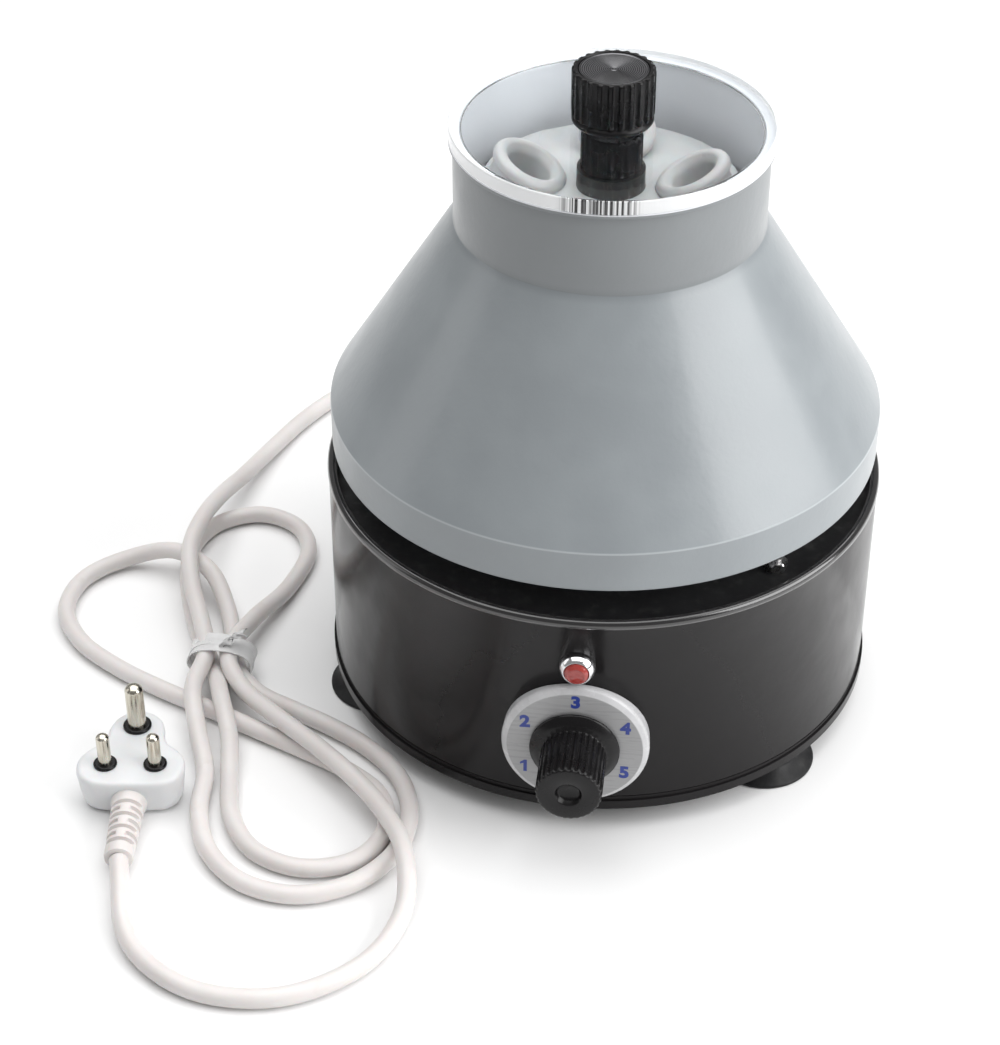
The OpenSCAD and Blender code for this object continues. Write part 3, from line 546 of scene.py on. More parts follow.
# Materials of the CAD nodes that are shown as they are
CAD_FINISHES = {
    "deck_plate": DARK_PAINT, "bottom_cover": BLACK_ENAMEL, "cover_screws": ZINC, "foot_screws": ZINC,
    "bowl_floor": PALE_PAINT, "bowl_studs": ZINC, "lid_knob_screw": ZINC,
    "rotor_head": MILKY, "rotor_sockets": MILKY, "rotor_seat": BRASS,
    "switch_body": PHENOLIC, "switch_shaft": BRASS, "switch_contacts": BRASS,
    "panel_nuts": ZINC, "lamp_body": CERAMIC, "motor_shaft": STEEL,
    "upper_bracket": CAST, "lower_bracket": CAST, "stator_core": STEEL, "field_coils": COPPER,
    "armature_core": STEEL, "armature_winding": COPPER, "commutator": BRASS, "motor_fan": CAST,
    "bearing_outer_races": STEEL, "bearing_inner_races": STEEL, "brush_holders": PHENOLIC,
    "carbon_brushes": CARBON, "motor_bolts": ZINC, "rubber_mounts": RUBBER, "mount_screws": ZINC,
    "speed_resistor": CERAMIC, "terminal_block": CERAMIC, "earth_stud": BRASS,
}


def finish_cad_nodes():
    """Gives the CAD nodes that stay visible their materials."""
    for name, material in CAD_FINISHES.items():
        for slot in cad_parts[name].material_slots:
            slot.material = material


# ---- Shapes ----

def add_piece(name, points, faces, material, body, replaced, sharp=38):
    """A mesh from points in millimetres, riding on a body in place of CAD nodes.

    Edges that bend by more than sharp degrees aren't smoothed.
    """
    mesh = bpy.data.meshes.new(name)
    mesh.from_pydata([Vector(p) * MM for p in points], [], faces)
    mesh.update()
    mesh.polygons.foreach_set("use_smooth", [True] * len(mesh.polygons))
    mesh.set_sharp_from_angle(angle=math.radians(sharp))
    mesh.materials.append(material)
    piece = bpy.data.objects.new(name, mesh)
    bpy.context.collection.objects.link(piece)
    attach(piece, body)
    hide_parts(*replaced)
    return piece


def second_finish(piece, material, chosen):
    """Gives the faces that a test picks a second material."""
    piece.data.materials.append(material)
    for face in piece.data.polygons:
        if chosen(face):
            face.material_index = 1


def from_axis(face):
    """A face's distance from the rotor axis, in millimetres."""
    return math.hypot(face.center.x, face.center.y) / MM


def rounded(line, radius, steps=4):
    """The line of (r, z) points with its inner corners rounded; a point's third number is its own radius.

    An arc takes up less than half of a side. A point beside each of its ends keeps the flats' shading flat.
    """
    most_of_side = 0.48
    least_reach = 0.02
    least_gap = 0.01
    out = [Vector(line[0][:2])]
    for before, here, after in zip(line, line[1:], line[2:]):
        corner = Vector(here[:2])
        back = Vector(before[:2]) - corner
        on = Vector(after[:2]) - corner
        wanted = here[2] if len(here) > 2 else radius
        reach = min(wanted, most_of_side * back.length, most_of_side * on.length)
        if reach < least_reach:
            out.append(corner)
            continue
        first = corner + back.normalized() * reach
        last = corner + on.normalized() * reach
        before_arc = corner + back.normalized() * min(1.3 * reach, 0.5 * back.length)
        after_arc = corner + on.normalized() * min(1.3 * reach, 0.5 * on.length)
        if (before_arc - out[-1]).length > least_gap:
            out.append(before_arc)
        for k in range(steps + 1):
            t = k / steps
            out.append((1 - t) ** 2 * first + 2 * t * (1 - t) * corner + t * t * last)
        out.append(after_arc)
    out.append(Vector(line[-1][:2]))
    return [tuple(p) for p in out]


def lathe_mesh(line, steps, closed=False, relief=None):
    """Points and faces of a line of (r, z[, depth]) turned about Z.

    relief(angle, r, depth) gives the radius at an angle; without it the piece is round.
    """
    points = []
    rings = []
    for entry in line:
        r, z = entry[0], entry[1]
        depth = entry[2] if len(entry) > 2 else 0
        if r < 1e-6:
            rings.append([len(points)] * steps)
            points.append((0, 0, z))
            continue
        rings.append(list(range(len(points), len(points) + steps)))
        for k in range(steps):
            angle = math.tau * k / steps
            radius = relief(angle, r, depth) if relief else r
            points.append((radius * math.cos(angle), radius * math.sin(angle), z))
    faces = []
    pairs = list(zip(rings, rings[1:] + rings[:1])) if closed else list(zip(rings, rings[1:]))
    for low, high in pairs:
        for k in range(steps):
            n = (k + 1) % steps
            corner = [low[k], low[n], high[n], high[k]]
            face = [v for i, v in enumerate(corner) if v != corner[i - 1]]
            if len(face) > 2:
                faces.append(face)
    return points, faces


def placed(points, matrix):
    return [tuple(matrix @ Vector(p)) for p in points]


def merged(parts):
    """One list of points and one of faces from several."""
    points = []
    faces = []
    for some_points, some_faces in parts:
        start = len(points)
        points += some_points
        faces += [[v + start for v in face] for face in some_faces]
    return points, faces


def flutes(count, width):
    """Relief of concave grooves; width is a groove's share of its pitch."""
    def relief(angle, r, depth):
        phase = (angle * count / math.tau) % 1 - 0.5
        across = min(abs(phase) / (width / 2), 1)
        return r - depth * math.sqrt(1 - across * across)
    return relief


def fluted_mesh(line, count, width, steps):
    """A turned piece with flutes, each drawn in a number of steps."""
    return lathe_mesh(line, count * steps, relief=flutes(count, width))


def raised(line, height):
    """The line of (r, z[, depth]) moved up."""
    return [(p[0], p[1] + height, *p[2:]) for p in line]


def hexagon(apothem):
    """Relief of a nut: a round outline cut by six flats where the depth is 1."""
    def relief(angle, r, depth):
        from_flat = (angle + math.pi / 6) % (math.pi / 3) - math.pi / 6
        return min(r, apothem / math.cos(from_flat)) if depth else r
    return relief


def on_front(height, y):
    """Matrix that points a piece drawn along +Z out of the drum's front."""
    return Matrix.Translation((0, y, height)) @ Matrix.Rotation(math.pi / 2, 4, "X")


def around(count, radius, first):
    """Matrices of places round the rotor axis, the first one at an angle from the dial's side."""
    return [
        Matrix.Rotation(math.radians(first - 90 + i * 360 / count), 4, "Z")
        @ Matrix.Translation((radius, 0, 0))
        for i in range(count)
    ]


# ---- Lead and plug ----

CORD_D = 7.2
# Where the lead leaves its strain relief
GLAND_Y = 137
GLAND_Z = 24
# Heights of the lead's middle: lying, over one run, over two, and the lower and upper runs in the tie
LAY = 3.6
OVER = 11.2
TOP = 19.2
TIED = 4.9
TIED_OVER = 12.4
CORD_ROUTE = [
    (0, GLAND_Y, GLAND_Z), (0, GLAND_Y + 11, GLAND_Z - 1), (-6, GLAND_Y + 28, 16), (-21, GLAND_Y + 45, 8),
    (-46, 195, 4), (-76, 200, LAY), (-106, 193, LAY), (-131, 174, LAY), (-148, 148, LAY), (-159, 119, 5),
    (-166, 92, 9), (-171, 68, 15), (-174, 46, TOP), (-175, 24, TOP), (-170, 3, 16), (-162, -17, 13),
    (-156, -36, TIED_OVER), (-157, -57, OVER), (-151, -78, 8), (-144, -98, 4), (-142, -119, LAY),
    (-134, -140, LAY), (-118, -155, LAY), (-97, -159, LAY), (-78, -151, LAY), (-65, -134, LAY),
    (-62, -113, LAY), (-69, -92, LAY), (-84, -76, LAY), (-101, -65, LAY), (-117, -57, LAY),
    (-132, -49, LAY), (-143, -37, TIED), (-149, -18, LAY), (-155, 1, 5), (-166, 19, OVER),
    (-184, 31, OVER), (-204, 32, 5), (-220, 18, LAY), (-223, -4, LAY), (-212, -24, LAY),
    (-193, -39, LAY), (-171, -51, LAY), (-149, -61, LAY), (-128, -71, LAY), (-109, -80, LAY),
    (-90, -90, LAY), (-75, -103, LAY), (-70, -122, LAY), (-79, -139, LAY), (-98, -145, LAY),
    (-117, -138, LAY), (-129, -121, LAY), (-134, -100, LAY), (-138, -80, 8), (-145, -61, OVER),
    (-153, -37, TIED), (-163, -17, LAY), (-171, 3, LAY), (-177, 24, LAY), (-179, 45, LAY),
    (-171, 63, LAY), (-154, 71, LAY), (-137, 64, LAY), (-129, 47, LAY), (-133, 20, 4), (-142, -8, 9),
    (-147, -36, TIED_OVER), (-138, -54, OVER), (-121, -70, OVER), (-103, -85, OVER), (-86, -101, OVER),
    (-71, -119, OVER), (-60, -140, OVER), (-57, -165, 5), (-68, -191, LAY), (-94, -209, LAY),
    (-126, -209, LAY), (-152, -190, 4), (-165.08, -151.77, 7),
]
# The plug lies with its pins up, turned a little from straight
PLUG_PLACE = Matrix.Translation((-169.4, -110.7, 0)) @ Matrix.Rotation(math.radians(6), 4, "Z")
PLUG_T = 17
PLUG_FRONT = -11.3
PIN_SPACING = 19.05
EARTH_OFFSET = 22.2
SIDE_PIN_R = 2.54
SIDE_PIN_LEN = 14.9
EARTH_PIN_R = 3.53
EARTH_PIN_LEN = 20.6


def smooth_line(knots, steps=6):
    """Points of a centripetal Catmull-Rom curve: no overshoot where the knots are unevenly spaced."""
    knots = [Vector(k) for k in knots]
    ends = [2 * knots[0] - knots[1]] + knots + [2 * knots[-1] - knots[-2]]
    out = []
    for p0, p1, p2, p3 in zip(ends, ends[1:], ends[2:], ends[3:]):
        t1 = (p1 - p0).length ** 0.5
        t2 = t1 + (p2 - p1).length ** 0.5
        t3 = t2 + (p3 - p2).length ** 0.5
        for k in range(steps):
            t = t1 + (t2 - t1) * k / steps
            a1 = (t1 - t) / t1 * p0 + t / t1 * p1
            a2 = (t2 - t) / (t2 - t1) * p1 + (t - t1) / (t2 - t1) * p2
            a3 = (t3 - t) / (t3 - t2) * p2 + (t - t2) / (t3 - t2) * p3
            b1 = (t2 - t) / t2 * a1 + t / t2 * a2
            b2 = (t3 - t) / (t3 - t1) * a2 + (t - t1) / (t3 - t1) * a3
            out.append((t2 - t) / (t2 - t1) * b1 + (t - t1) / (t2 - t1) * b2)
    out.append(knots[-1])
    return out


def make_lead():
    """The lead along its route, kept a hair above the floor where the curve dips."""
    line = [Vector((p.x, p.y, max(p.z, LAY + 0.05))) for p in smooth_line(CORD_ROUTE)]
    curve = bpy.data.curves.new("lead", "CURVE")
    curve.dimensions = "3D"
    curve.bevel_depth = CORD_D / 2 * MM
    curve.bevel_resolution = 7
    spline = curve.splines.new("POLY")
    spline.points.add(len(line) - 1)
    for point, place in zip(spline.points, line):
        point.co = (*(place * MM), 1)
    spline.use_smooth = True
    curve.materials.append(CORD_PVC)
    lead = bpy.data.objects.new("lead", curve)
    bpy.context.collection.objects.link(lead)
    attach(lead, "base")
    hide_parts("mains_cord")
    return lead, line


def make_gland():
    """Tapered strain relief at the back of the drum, with ribs along its taper."""
    line = [(0, -7), (7.5, -7), (7.5, -1.6), (6, -1.6), (6, 0.4), (9, 0.4), (9, 3), (7.4, 4.5)]
    ribs = 6
    for i in range(ribs):
        z = 7 + i * 3.6
        r = 7.2 - 0.28 * i
        line += [(r, z), (r - 1.2, z + 0.7), (r - 1.2, z + 1.9), (r - 0.25, z + 2.6)]
    line += [(5.3, 29), (4.6, 30), (0, 30)]
    points, faces = lathe_mesh(rounded(line, 0.4, 3), 72)
    place = Matrix.Translation((0, BASE_R, GLAND_Z)) @ Matrix.Rotation(-math.pi / 2, 4, "X")
    gland = add_piece("strain_relief", placed(points, place), faces, RUBBER, "base", ["cord_gland"])


def plug_outline(inset):
    """The plug's outline, drawn in by an inset: a wide body with a lobe for the earth pin."""
    steps = 5
    half = [
        (0, -11.3), (8, -11.3), (14.5, -10.1), (19.2, -6.2), (20.8, -0.6), (19.9, 5), (16.6, 9.6),
        (12.9, 13), (11.3, 17), (10.8, 21.5), (9, 26.6), (5.2, 30.4), (0, 31.7),
    ]
    knots = half + [(-x, y) for x, y in reversed(half[1:-1])]
    loop = knots[-2:] + knots + knots[:2]
    line = smooth_line([(x, y, 0) for x, y in loop], steps)
    line = line[2 * steps:(2 + len(knots)) * steps]
    out = []
    for before, here, after in zip(line[-1:] + line[:-1], line, line[1:] + line[:1]):
        along = (after - before).normalized()
        out.append(here + Vector((-along.y, along.x, 0)) * inset)
    return out


def make_plug_body():
    """The plug's moulding, from outlines at several heights, each with its inset."""
    levels = [
        (0, 6.2), (0.1, 4.6), (0.7, 3.2), (2, 2.1), (4, 1.5), (7, 1.0), (10, 0.7), (13, 0.35), (15, 0.1),
        (16, 0.25), (16.6, 0.7), (16.95, 1.4), (17, 2.4), (17, 5.5),
    ]
    rings = [[(p.x, p.y, z) for p in plug_outline(inset)] for z, inset in levels]
    count = len(rings[0])
    points = [p for ring in rings for p in ring]
    middle_y = 7
    bottom = len(points)
    top = bottom + 1
    points += [(0, middle_y, 0), (0, middle_y, PLUG_T)]
    faces = []
    for level in range(len(rings) - 1):
        for k in range(count):
            a = level * count + k
            b = level * count + (k + 1) % count
            faces.append([a, b, b + count, a + count])
    last = (len(rings) - 1) * count
    for k in range(count):
        n = (k + 1) % count
        faces.append([n, k, bottom])
        faces.append([last + k, last + n, top])
    points = placed(points, PLUG_PLACE)
    body = add_piece("plug_moulding", points, faces, PLUG_WHITE, "base", ["plug_body"], 60)
    return body


def make_plug_sleeve():
    """Ribbed sleeve behind the plug: its grooves are cut in turn on the sides and on top and bottom.

    A positive depth is a groove on the sides, a negative one a groove on top and bottom.
    """
    def relief(angle, r, depth):
        if depth == 0:
            return r
        across = abs(math.cos(angle)) if depth > 0 else abs(math.sin(angle))
        return r - abs(depth) * min(max((across - 0.28) / 0.2, 0), 1)
    line = [(0, -1), (6.9, -1), (6.9, 0.4), (6.4, 1.4)]
    for i in range(7):
        z = 4 + i * 3.3
        r = 6.25 - 0.1 * i
        depth = 1.5 if i % 2 else -1.5
        line += [(r, z - 0.3), (r, z, depth), (r, z + 1.5, depth), (r, z + 1.8)]
    line += [(5.6, 28.6), (5.3, 29.7), (4.6, 30), (0, 30)]
    points, faces = lathe_mesh(line, 96, relief=relief)
    lying = Matrix.Translation((0, PLUG_FRONT, 7)) @ Matrix.Rotation(math.pi / 2, 4, "X")
    points = placed(points, PLUG_PLACE @ lying)
    sleeve = add_piece("plug_strain_relief", points, faces, CORD_PVC, "base", ["plug_sleeve"])
    return sleeve


def pin_places():
    """Places of the line, neutral and earth pin on the plug's face, each with its radius and length."""
    side = PIN_SPACING / 2
    return [
        (Matrix.Translation((-side, 0, PLUG_T)), SIDE_PIN_R, SIDE_PIN_LEN),
        (Matrix.Translation((side, 0, PLUG_T)), SIDE_PIN_R, SIDE_PIN_LEN),
        (Matrix.Translation((0, EARTH_OFFSET, PLUG_T)), EARTH_PIN_R, EARTH_PIN_LEN),
    ]


def make_pins():
    """Round-tipped pins, and the black collar at the foot of each."""
    pins = []
    collars = []
    for place, r, length in pin_places():
        tip = r * 0.75
        line = [(0, -6), (r - 0.4, -6), (r - 0.4, 1.4), (r, 1.45), (r, length - tip)]
        for k in range(1, 9):
            turn = math.pi / 2 * k / 8
            line.append((r * math.cos(turn) if k < 8 else 0, length - tip + tip * math.sin(turn)))
        points, faces = lathe_mesh(line, 64)
        pins.append((placed(points, PLUG_PLACE @ place), faces))
        outer = 5.5 if r == EARTH_PIN_R else 4.5
        ring = rounded([(r - 0.38, 0), (outer, 0), (outer, 0.9), (outer - 0.7, 1.4), (r - 0.38, 1.4)], 0.3)
        points, faces = lathe_mesh(ring, 64, closed=True)
        collars.append((placed(points, PLUG_PLACE @ place), faces))
    metal = add_piece("pins", *merged(pins), PIN_METAL, "base", ["plug_pins"])
    black = add_piece("pin_collars", *merged(collars), KNOB_BLACK, "base", ["plug_collars"])
    return [metal, black]


def ribbon(centre_line, sides, width, thickness):
    """A flat strip along a line; sides gives the direction of its width at each point."""
    points = []
    count = len(centre_line)
    for i, (here, side) in enumerate(zip(centre_line, sides)):
        along = (centre_line[min(i + 1, count - 1)] - centre_line[max(i - 1, 0)]).normalized()
        out = along.cross(side).normalized()
        for across, up in ((-1, -1), (1, -1), (1, 1), (-1, 1)):
            points.append(here + side * (across * width / 2) + out * (up * thickness / 2))
    faces = []
    for i in range(count - 1):
        for k in range(4):
            n = (k + 1) % 4
            faces.append([4 * i + k, 4 * i + n, 4 * i + 4 + n, 4 * i + 4 + k])
    faces += [[3, 2, 1, 0], [4 * count - 4, 4 * count - 3, 4 * count - 2, 4 * count - 1]]
    return points, faces


def wound_strip():
    """Three slightly uneven turns of the tie's strip round the bundle."""
    turns = 3
    steps = 40
    line = []
    sides = []
    for i in range(turns * steps + 1):
        angle = math.tau * i / steps - math.pi / 2
        slip = 0.5 * math.sin(3.1 * angle) + 0.3 * math.sin(1.7 * angle)
        x = -150 + 13.2 * math.cos(angle)
        y = -39.5 + 10 * i / (turns * steps) + slip
        z = 8.95 + 8.2 * math.sin(angle)
        line.append(Vector((x, y, z)))
        sides.append(Vector((0.12 * math.sin(angle * 0.7), 1, 0.1 * math.cos(angle))).normalized())
    return ribbon(line, sides, 4.2, 0.5)


def twisted_end(phase):
    """One of the strip's two ends, which twist about each other above the bundle and part at their tips."""
    steps = 24
    line = []
    sides = []
    for i in range(steps + 1):
        t = i / steps
        twist = math.tau * 1.3 * t + phase
        apart = 0.9 + 3.2 * max(t - 0.7, 0)
        x = -149 + 9 * t + apart * math.cos(twist)
        y = -37 + 3 * t + apart * math.sin(twist)
        z = 17.4 + 5.5 * math.sin(1.4 * t)
        line.append(Vector((x, y, z)))
        sides.append(Vector((math.sin(twist), math.cos(twist), 0.4)).normalized())
    return ribbon(line, sides, 3.0, 0.45)


def make_tie():
    points, faces = merged([wound_strip(), twisted_end(math.pi), twisted_end(0)])
    tie = add_piece("bundle_tie", points, faces, CLEAR_FILM, "base", ["cord_tie"])
    return tie


lead, lead_line = make_lead()
make_gland()
plug_pieces = [make_plug_body(), make_plug_sleeve()] + make_pins() + [make_tie()]


# ---- Base ----

FOOT_TURN = 50
FOOT_CIRCLE_R = 91
STUD_CIRCLE_R = 90


def make_drum():
    """Sheet-steel drum with a rolled rim and a shallow groove above its foot."""
    foot, rim = foot_and_top("base_shell")
    line = [
        (105.8, foot), (106.9, foot, 0.2), (107, 14.2, 0.2), (106.75, 14.7, 0.3), (106.75, 15.3, 0.3),
        (107, 15.8, 0.3), (107, rim - 4.6, 0.8),
    ]
    bead = [
        (105.4 + 2 * math.cos(a), rim - 2 + 2 * math.sin(a))
        for a in [math.radians(-38 + 13 * k) for k in range(18)]
    ]
    outline = rounded(line, 0.3)[:-1] + bead + [(103.6, rim - 3.2), (105.8, rim - 4.2), (105.8, foot)]
    points, faces = lathe_mesh(outline, 288)
    drum = add_piece("drum", points, faces, BLACK_ENAMEL, "base", ["base_shell"])
    second_finish(drum, RIM_ENAMEL, lambda face: face.center.z > (rim - 4.4) * MM)


def make_feet():
    """Three rubber sucker feet: a flared lip, a waist and a collar against the bottom cover."""
    top = foot_and_top("foot_1")[1]
    line = rounded([
        (0, 5), (4.7, 5, 0.3), (4.7, 0.8, 0.3), (15, 0.8, 1), (16.5, 0, 0.4), (20, 0, 0.5),
        (20.1, 1.1, 0.5), (17.4, 3, 1.6), (14.6, 6, 1.2), (14.3, 7.4, 0.4), (13.4, 7.7, 0.3),
        (13.6, top, 0.4), (0, top),
    ], 0.4)
    points, faces = lathe_mesh(line, 96)
    for i, place in enumerate(around(3, FOOT_CIRCLE_R, FOOT_TURN), 1):
        foot = add_piece(f"sucker_foot_{i}", placed(points, place), faces, RUBBER, "base", [f"foot_{i}"])


def nut_mesh(corner_r, height, hole_r):
    """A hexagonal nut with turned chamfers on both faces."""
    flat = corner_r * math.cos(math.pi / 6)
    line = [
        (hole_r, 0.4), (hole_r + 0.4, 0), (flat - 0.1, 0), (corner_r, 0.7, 1), (corner_r, height - 0.7, 1),
        (flat - 0.1, height), (hole_r + 0.4, height), (hole_r, height - 0.4),
    ]
    return lathe_mesh(line, 96, closed=True, relief=hexagon(flat))


def make_bowl_nuts():
    """Lock nuts on the three studs: both sides of the deck and of the bowl's floor."""
    deck_top = foot_and_top("deck_plate")[1]
    floor_low = foot_and_top("bowl_floor")[0]
    points, faces = nut_mesh(4.6, 4, 2.52)
    parts = []
    for i, place in enumerate(around(3, STUD_CIRCLE_R, FOOT_TURN)):
        for j, z in enumerate((deck_top - 6, deck_top, floor_low - 4, floor_low + 1.5)):
            turn = Matrix.Rotation(math.radians(17 * i + 23 * j), 4, "Z")
            parts.append((placed(points, place @ Matrix.Translation((0, 0, z)) @ turn), faces))
    nuts = add_piece("lock_nuts", *merged(parts), ZINC, "base", ["bowl_nuts"], 30)


make_drum()
make_feet()
make_bowl_nuts()


# ---- Bowl and lid ----

BOWL_R = 105
NECK_R = 57.4
LID_R = 58.9
# The lid's step hangs in the neck, and its disc rests on the neck's lip
STEP_FOOT, LID_TOP = foot_and_top("lid_disc")
LIP_Z = foot_and_top("bowl_neck")[1]


def faces_inward(face):
    """Inner faces of the bowl, and the top of its lip."""
    outward = face.normal.x * face.center.x + face.normal.y * face.center.y
    return outward < 0 or face.center.z > (LIP_Z - 0.4) * MM


def make_bowl():
    """Spun guard bowl: band, cone, neck and a thin lip that carries the lid."""
    low = foot_and_top("bowl")[0]
    wall = 1.4
    outline = rounded([
        (98, low + wall), (98, low, 0.5), (BOWL_R, low, 1.1),
        (BOWL_R, BAND_TOP, 0.5), (NECK_R, NECK_Z, 0.35),
        (NECK_R, LIP_Z - 1.5, 0.3), (LID_R, LIP_Z - 1.5, 0.5), (LID_R, LIP_Z, 0.5), (LID_R - 4, LIP_Z, 0.4),
        (LID_R - 4, LIP_Z - 1.6, 0.3), (NECK_R - wall, LIP_Z - 2.2, 0.4),
        (NECK_R - wall, NECK_Z - 0.7, 0.8), (BOWL_R - wall, BAND_TOP - 0.7, 0.9),
        (BOWL_R - wall, low + wall, 0.6), (98, low + wall),
    ], 0.5, 5)
    points, faces = lathe_mesh(outline, 288)
    bowl = add_piece("guard_bowl", points, faces, GREY_ENAMEL, "base", ["bowl", "bowl_neck"])
    second_finish(bowl, PALE_PAINT, faces_inward)


def make_lid():
    """Clear disc with a step under it that drops into the neck."""
    step_r = LID_R - 4.6
    seat = LIP_Z + 0.05
    outline = rounded([
        (2.6, STEP_FOOT), (step_r, STEP_FOOT, 0.4), (step_r, seat, 0.2), (LID_R, seat, 0.7),
        (LID_R, LID_TOP, 0.8), (2.6, LID_TOP, 0.2), (2.6, STEP_FOOT),
    ], 0.5, 5)
    points, faces = lathe_mesh(outline, 256)
    lid = add_piece("clear_lid", points, faces, ACRYLIC, "lid", ["lid_disc"])
    second_finish(lid, ACRYLIC_EDGE, lambda face: from_axis(face) > LID_R - 0.6)


def make_lid_knob():
    """Fluted knob with a foot ring, and the turned metal disc let into its top."""
    height = 20.7
    deep = 1.15
    line = [
        (2.52, 0), (13.4, 0), (14.3, 0.4), (14.8, 1.2), (14.8, 1.8), (14.5, 2.4), (13.8, 2.8), (13.7, 3.0),
        (14.0, 3.2), (14.85, 3.5, deep * 0.7), (15, 3.9, deep), (15, 19.9, deep), (14.85, 20.3, deep * 0.9),
        (14.5, 20.6, deep * 0.6), (13.6, height), (13.1, height), (12.85, height - 0.25),
        (12.8, height - 0.8), (2.52, height - 0.8), (2.52, 0),
    ]
    points, faces = fluted_mesh(raised(line, LID_TOP), 24, 0.7, 16)
    knob = add_piece("lid_grip", points, faces, KNOB_BLACK, "lid", ["lid_knob"], 50)

    plate = LID_TOP + height - 0.75
    rings = [
        (0, plate + 0.3), (1.1, plate + 0.3), (1.3, plate + 0.2), (1.6, plate + 0.3), (11.6, plate + 0.3),
        (11.9, plate + 0.45), (12.3, plate + 0.45), (12.6, plate + 0.1), (12.6, plate), (0, plate),
    ]
    points, faces = lathe_mesh(rings, 160)
    insert = add_piece("lid_grip_insert", points, faces, SPUN_DARK, "lid", ["lid_knob_insert"], 20)


make_bowl()
make_lid()
make_lid_knob()


# ---- Rotor ----

TUBE_TILT = 26
MOUTH_R = 28.5
MOUTH_Z = 220.5
ROTOR_TOP = 220


def make_sleeves():
    """Four tilted sleeves with rounded, flared mouths."""
    line = rounded([
        (0, -104), (8.2, -104, 1.5), (10.2, -101, 1.5), (10.2, -4, 0.2), (14.4, -4, 0.8), (14.4, -1.2, 1.2),
        (12.6, 0.1, 1.2), (10.6, -0.1, 0.8), (8.5, -2.6, 1.2), (8.5, -100, 2), (0, -100),
    ], 0.6, 5)
    points, faces = lathe_mesh(line, 96)
    tilted = Matrix.Translation((MOUTH_R, 0, MOUTH_Z)) @ Matrix.Rotation(math.radians(-TUBE_TILT), 4, "Y")
    for i in range(4):
        place = Matrix.Rotation(math.pi / 2 * i, 4, "Z") @ tilted
        name = f"sleeve_{i + 1}"
        sleeve = add_piece(name, placed(points, place), faces, MILKY, "rotor", ["tube_" + name])


def make_rotor_nut():
    """Fluted nut on the shaft's end, with a dished top."""
    deep = 0.7
    line = [
        (4.02, 0), (10.6, 0), (11.25, 0.5, deep * 0.4), (11.25, 1.0, deep), (11.25, 13.0, deep),
        (11.0, 13.8, deep * 0.6), (10.3, 14.3), (9.6, 14.4), (9.0, 14.1), (8.6, 13.9), (0, 13.9),
    ]
    points, faces = fluted_mesh(raised(line, ROTOR_TOP), 20, 0.6, 14)
    nut = add_piece("rotor_lock_nut", points, faces, KNOB_BLACK, "rotor", ["rotor_nut"], 50)


make_sleeves()
make_rotor_nut()


# ---- Controls ----

DIAL_Z = 43
DIAL_R = 27.5
DIAL_FACE_Y = -BASE_R - 4
LAMP_Z = 78.3
INK_T = 0.03


def on_dial_edge(face):
    """Faces of the dial's outer wall and bevel."""
    return math.hypot(face.center.x, face.center.z - DIAL_Z * MM) > (DIAL_R - 2.3) * MM


def make_dial():
    """Thick disc with a bevelled rim; its back follows the drum."""
    back = -6.5
    line = rounded([
        (5.2, back + 3), (9, back + 3), (9, back), (DIAL_R - 0.3, back, 0.2), (DIAL_R, 1.6, 0.4),
        (DIAL_R - 0.4, 2.8, 0.5), (DIAL_R - 2.3, 4.0, 0.3), (5.2, 4.0), (5.2, back + 3),
    ], 0.2, 5)
    points, faces = lathe_mesh(line, 192)
    front = []
    for p in placed(points, on_front(DIAL_Z, -BASE_R)):
        follow = -math.sqrt(max((BASE_R + 0.06) ** 2 - p[0] ** 2, 0))
        front.append((p[0], min(p[1], follow), p[2]))
    dial = add_piece("dial", front, faces, DIAL_GREY, "base", ["dial_plate"])
    second_finish(dial, DIAL_RIM, on_dial_edge)


def number_mesh(figure):
    """A printed figure: the built-in font, made bolder, or for 1 a stem with a flag."""
    if figure == 1:
        outline = [
            (-0.4, -2.8), (0.9, -2.8), (0.9, 2.8), (-0.1, 2.8), (-1.7, 1.6), (-1.7, 0.6), (-0.4, 1.2),
        ]
        mesh = bpy.data.meshes.new("dial_number_1")
        mesh.from_pydata([(x * MM, y * MM, INK_T * MM) for x, y in outline], [], [range(len(outline))])
        return mesh
    text = bpy.data.curves.new(f"dial_number_{figure}", "FONT")
    text.body = str(figure)
    text.size = 7.4 * MM
    text.offset = 0.36 * MM
    text.extrude = INK_T * MM
    text.align_x = "CENTER"
    text.align_y = "CENTER"
    return text


def make_dial_numbers():
    """Printed numbers 1 to 5, upright, sixty degrees apart, with 3 at the top."""
    r = 21.4
    for figure in range(1, 6):
        shape = number_mesh(figure)
        shape.materials.append(DIAL_INK)
        number = bpy.data.objects.new(f"dial_number_{figure}", shape)
        bpy.context.collection.objects.link(number)
        angle = math.radians(-180 + 60 * figure)
        x = r * math.sin(angle)
        z = DIAL_Z + r * math.cos(angle)
        place = Matrix.Translation(Vector((x, DIAL_FACE_Y - INK_T, z)) * MM)
        number.matrix_world = place @ Matrix.Rotation(math.pi / 2, 4, "X")
        bpy.context.view_layer.update()
        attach(number, "base")


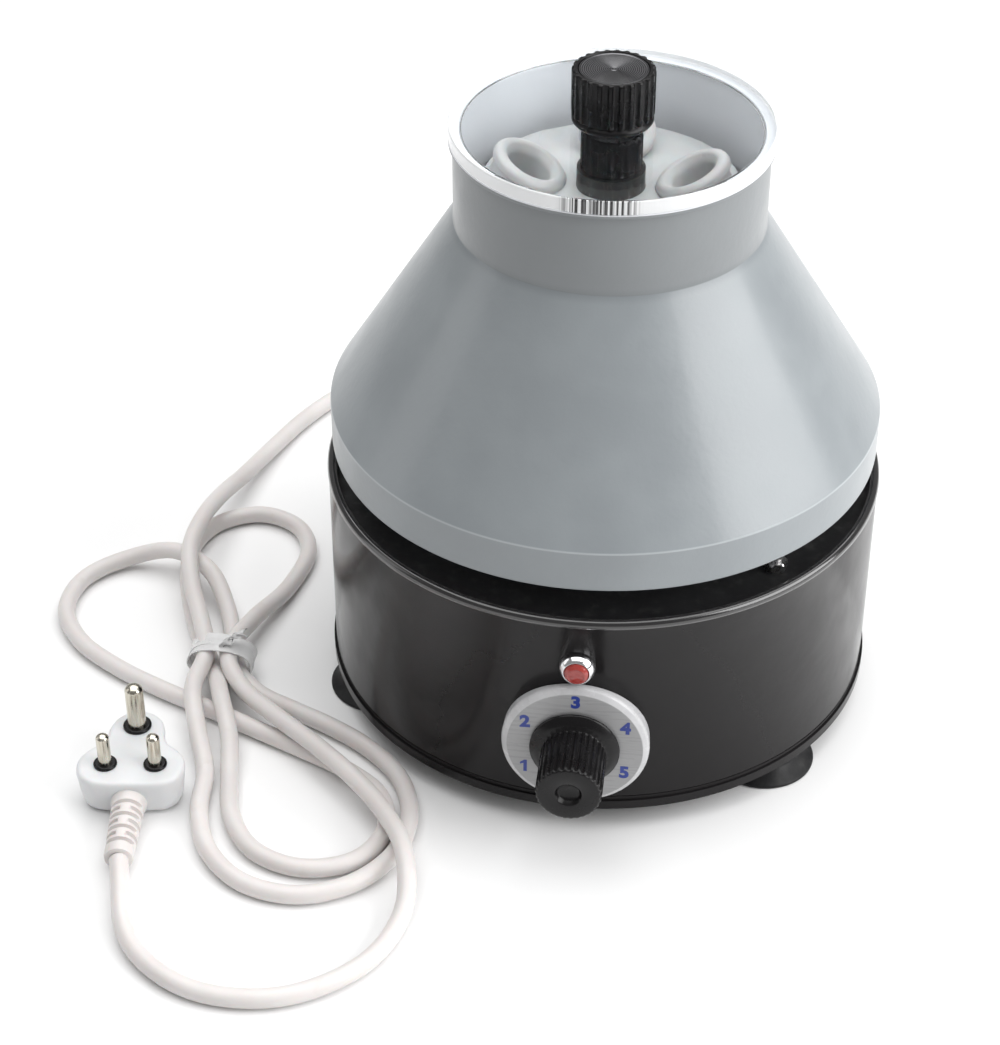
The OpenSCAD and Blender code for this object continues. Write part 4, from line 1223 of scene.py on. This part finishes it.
def make_speed_knob():
    """Fluted knob with a skirt and a dished front."""
    deep = 0.62
    length = 26
    line = [
        (3.02, 15), (3.02, 5.2), (7.5, 5.2), (7.5, 0), (16.3, 0), (16.7, 0.3), (16.7, 0.9), (16.3, 1.3),
        (14.6, 2.6), (13.6, 3.1), (12.3, 3.5), (12.0, 3.9, deep * 0.5), (12.2, 4.4, deep),
        (12.2, length - 2.2, deep), (12.0, length - 1.4, deep * 0.8), (11.6, length - 0.8, deep * 0.3),
        (11.2, length - 0.6), (10.7, length - 0.5), (5.3, length - 0.5), (4.9, length - 0.7),
        (4.4, length - 2.2), (3.6, length - 2.9), (0, length - 3.1),
    ]
    points, faces = fluted_mesh(line, 30, 0.66, 12)
    points = placed(points, on_front(DIAL_Z, DIAL_FACE_Y - 0.6))
    knob = add_piece("speed_grip", points, faces, KNOB_BLACK, "knob", ["speed_knob"], 50)


def make_lamp():
    """Pilot lamp: a turned chrome ring round a low red lens."""
    place = on_front(LAMP_Z, -BASE_R)
    line = rounded([
        (4.2, -12), (5, -12, 0.2), (5, -0.4, 0.1), (6.7, -0.4, 0.2), (6.7, 0.8, 0.5), (6.3, 2.4, 1.0),
        (5.4, 3.7, 0.8), (4.75, 4.3, 0.3), (4.5, 3.6, 0.3), (4.5, 2.2), (4.2, 2.2), (4.2, -12),
    ], 0.2, 5)
    points, faces = lathe_mesh(line, 128)
    bezel = add_piece("pilot_bezel", placed(points, place), faces, CHROME, "base", ["lamp_bezel"])
    line = [(0, 2.3), (4.45, 2.3), (4.45, 4.0), (4.2, 4.9), (3.6, 5.5), (3.1, 5.7), (2.9, 5.55), (0, 5.75)]
    points, faces = lathe_mesh(line, 64)
    lens = add_piece("pilot_lens", placed(points, place), faces, RED_LENS, "base", ["lamp_lens"], 25)


make_dial()
make_dial_numbers()
make_speed_knob()
make_lamp()
finish_cad_nodes()


# ---- Floor, light and backdrop ----

def make_floor():
    """A wide floor, a hair below the feet."""
    size = 6
    z = -0.0002
    corners = [(-size, -size, z), (size, -size, z), (size, size, z), (-size, size, z)]
    mesh = bpy.data.meshes.new("floor")
    mesh.from_pydata(corners, [], [[0, 1, 2, 3]])
    mesh.materials.append(white_floor())
    floor = bpy.data.objects.new("floor", mesh)
    bpy.context.collection.objects.link(floor)


def add_area(name, place, target, width, height, power):
    light = bpy.data.lights.new(name, "AREA")
    light.shape = "RECTANGLE"
    light.size = width
    light.size_y = height
    light.energy = power
    lamp = bpy.data.objects.new(name, light)
    bpy.context.collection.objects.link(lamp)
    lamp.location = place
    lamp.rotation_euler = (Vector(target) - Vector(place)).to_track_quat("-Z", "Y").to_euler()


def light_studio():
    """An even sky, a large soft box above, one on the right, and a weak strip on the left."""
    world = bpy.data.worlds.new("studio")
    world.use_nodes = True
    world.node_tree.nodes["Background"].inputs["Color"].default_value = (1, 1, 1, 1)
    world.node_tree.nodes["Background"].inputs["Strength"].default_value = 0.28
    bpy.context.scene.world = world
    middle = (0, 0, 0.12)
    add_area("top_box", (0, 0.25, 1.6), middle, 2.2, 2.2, 34)
    add_area("right_box", (1.35, -0.32, 0.8), middle, 1.4, 1.1, 24)
    add_area("left_strip", (-1.4, -0.1, 0.6), middle, 0.5, 1.0, 1.6)


make_floor()
light_studio()
bpy.context.scene.view_settings.view_transform = "Standard"
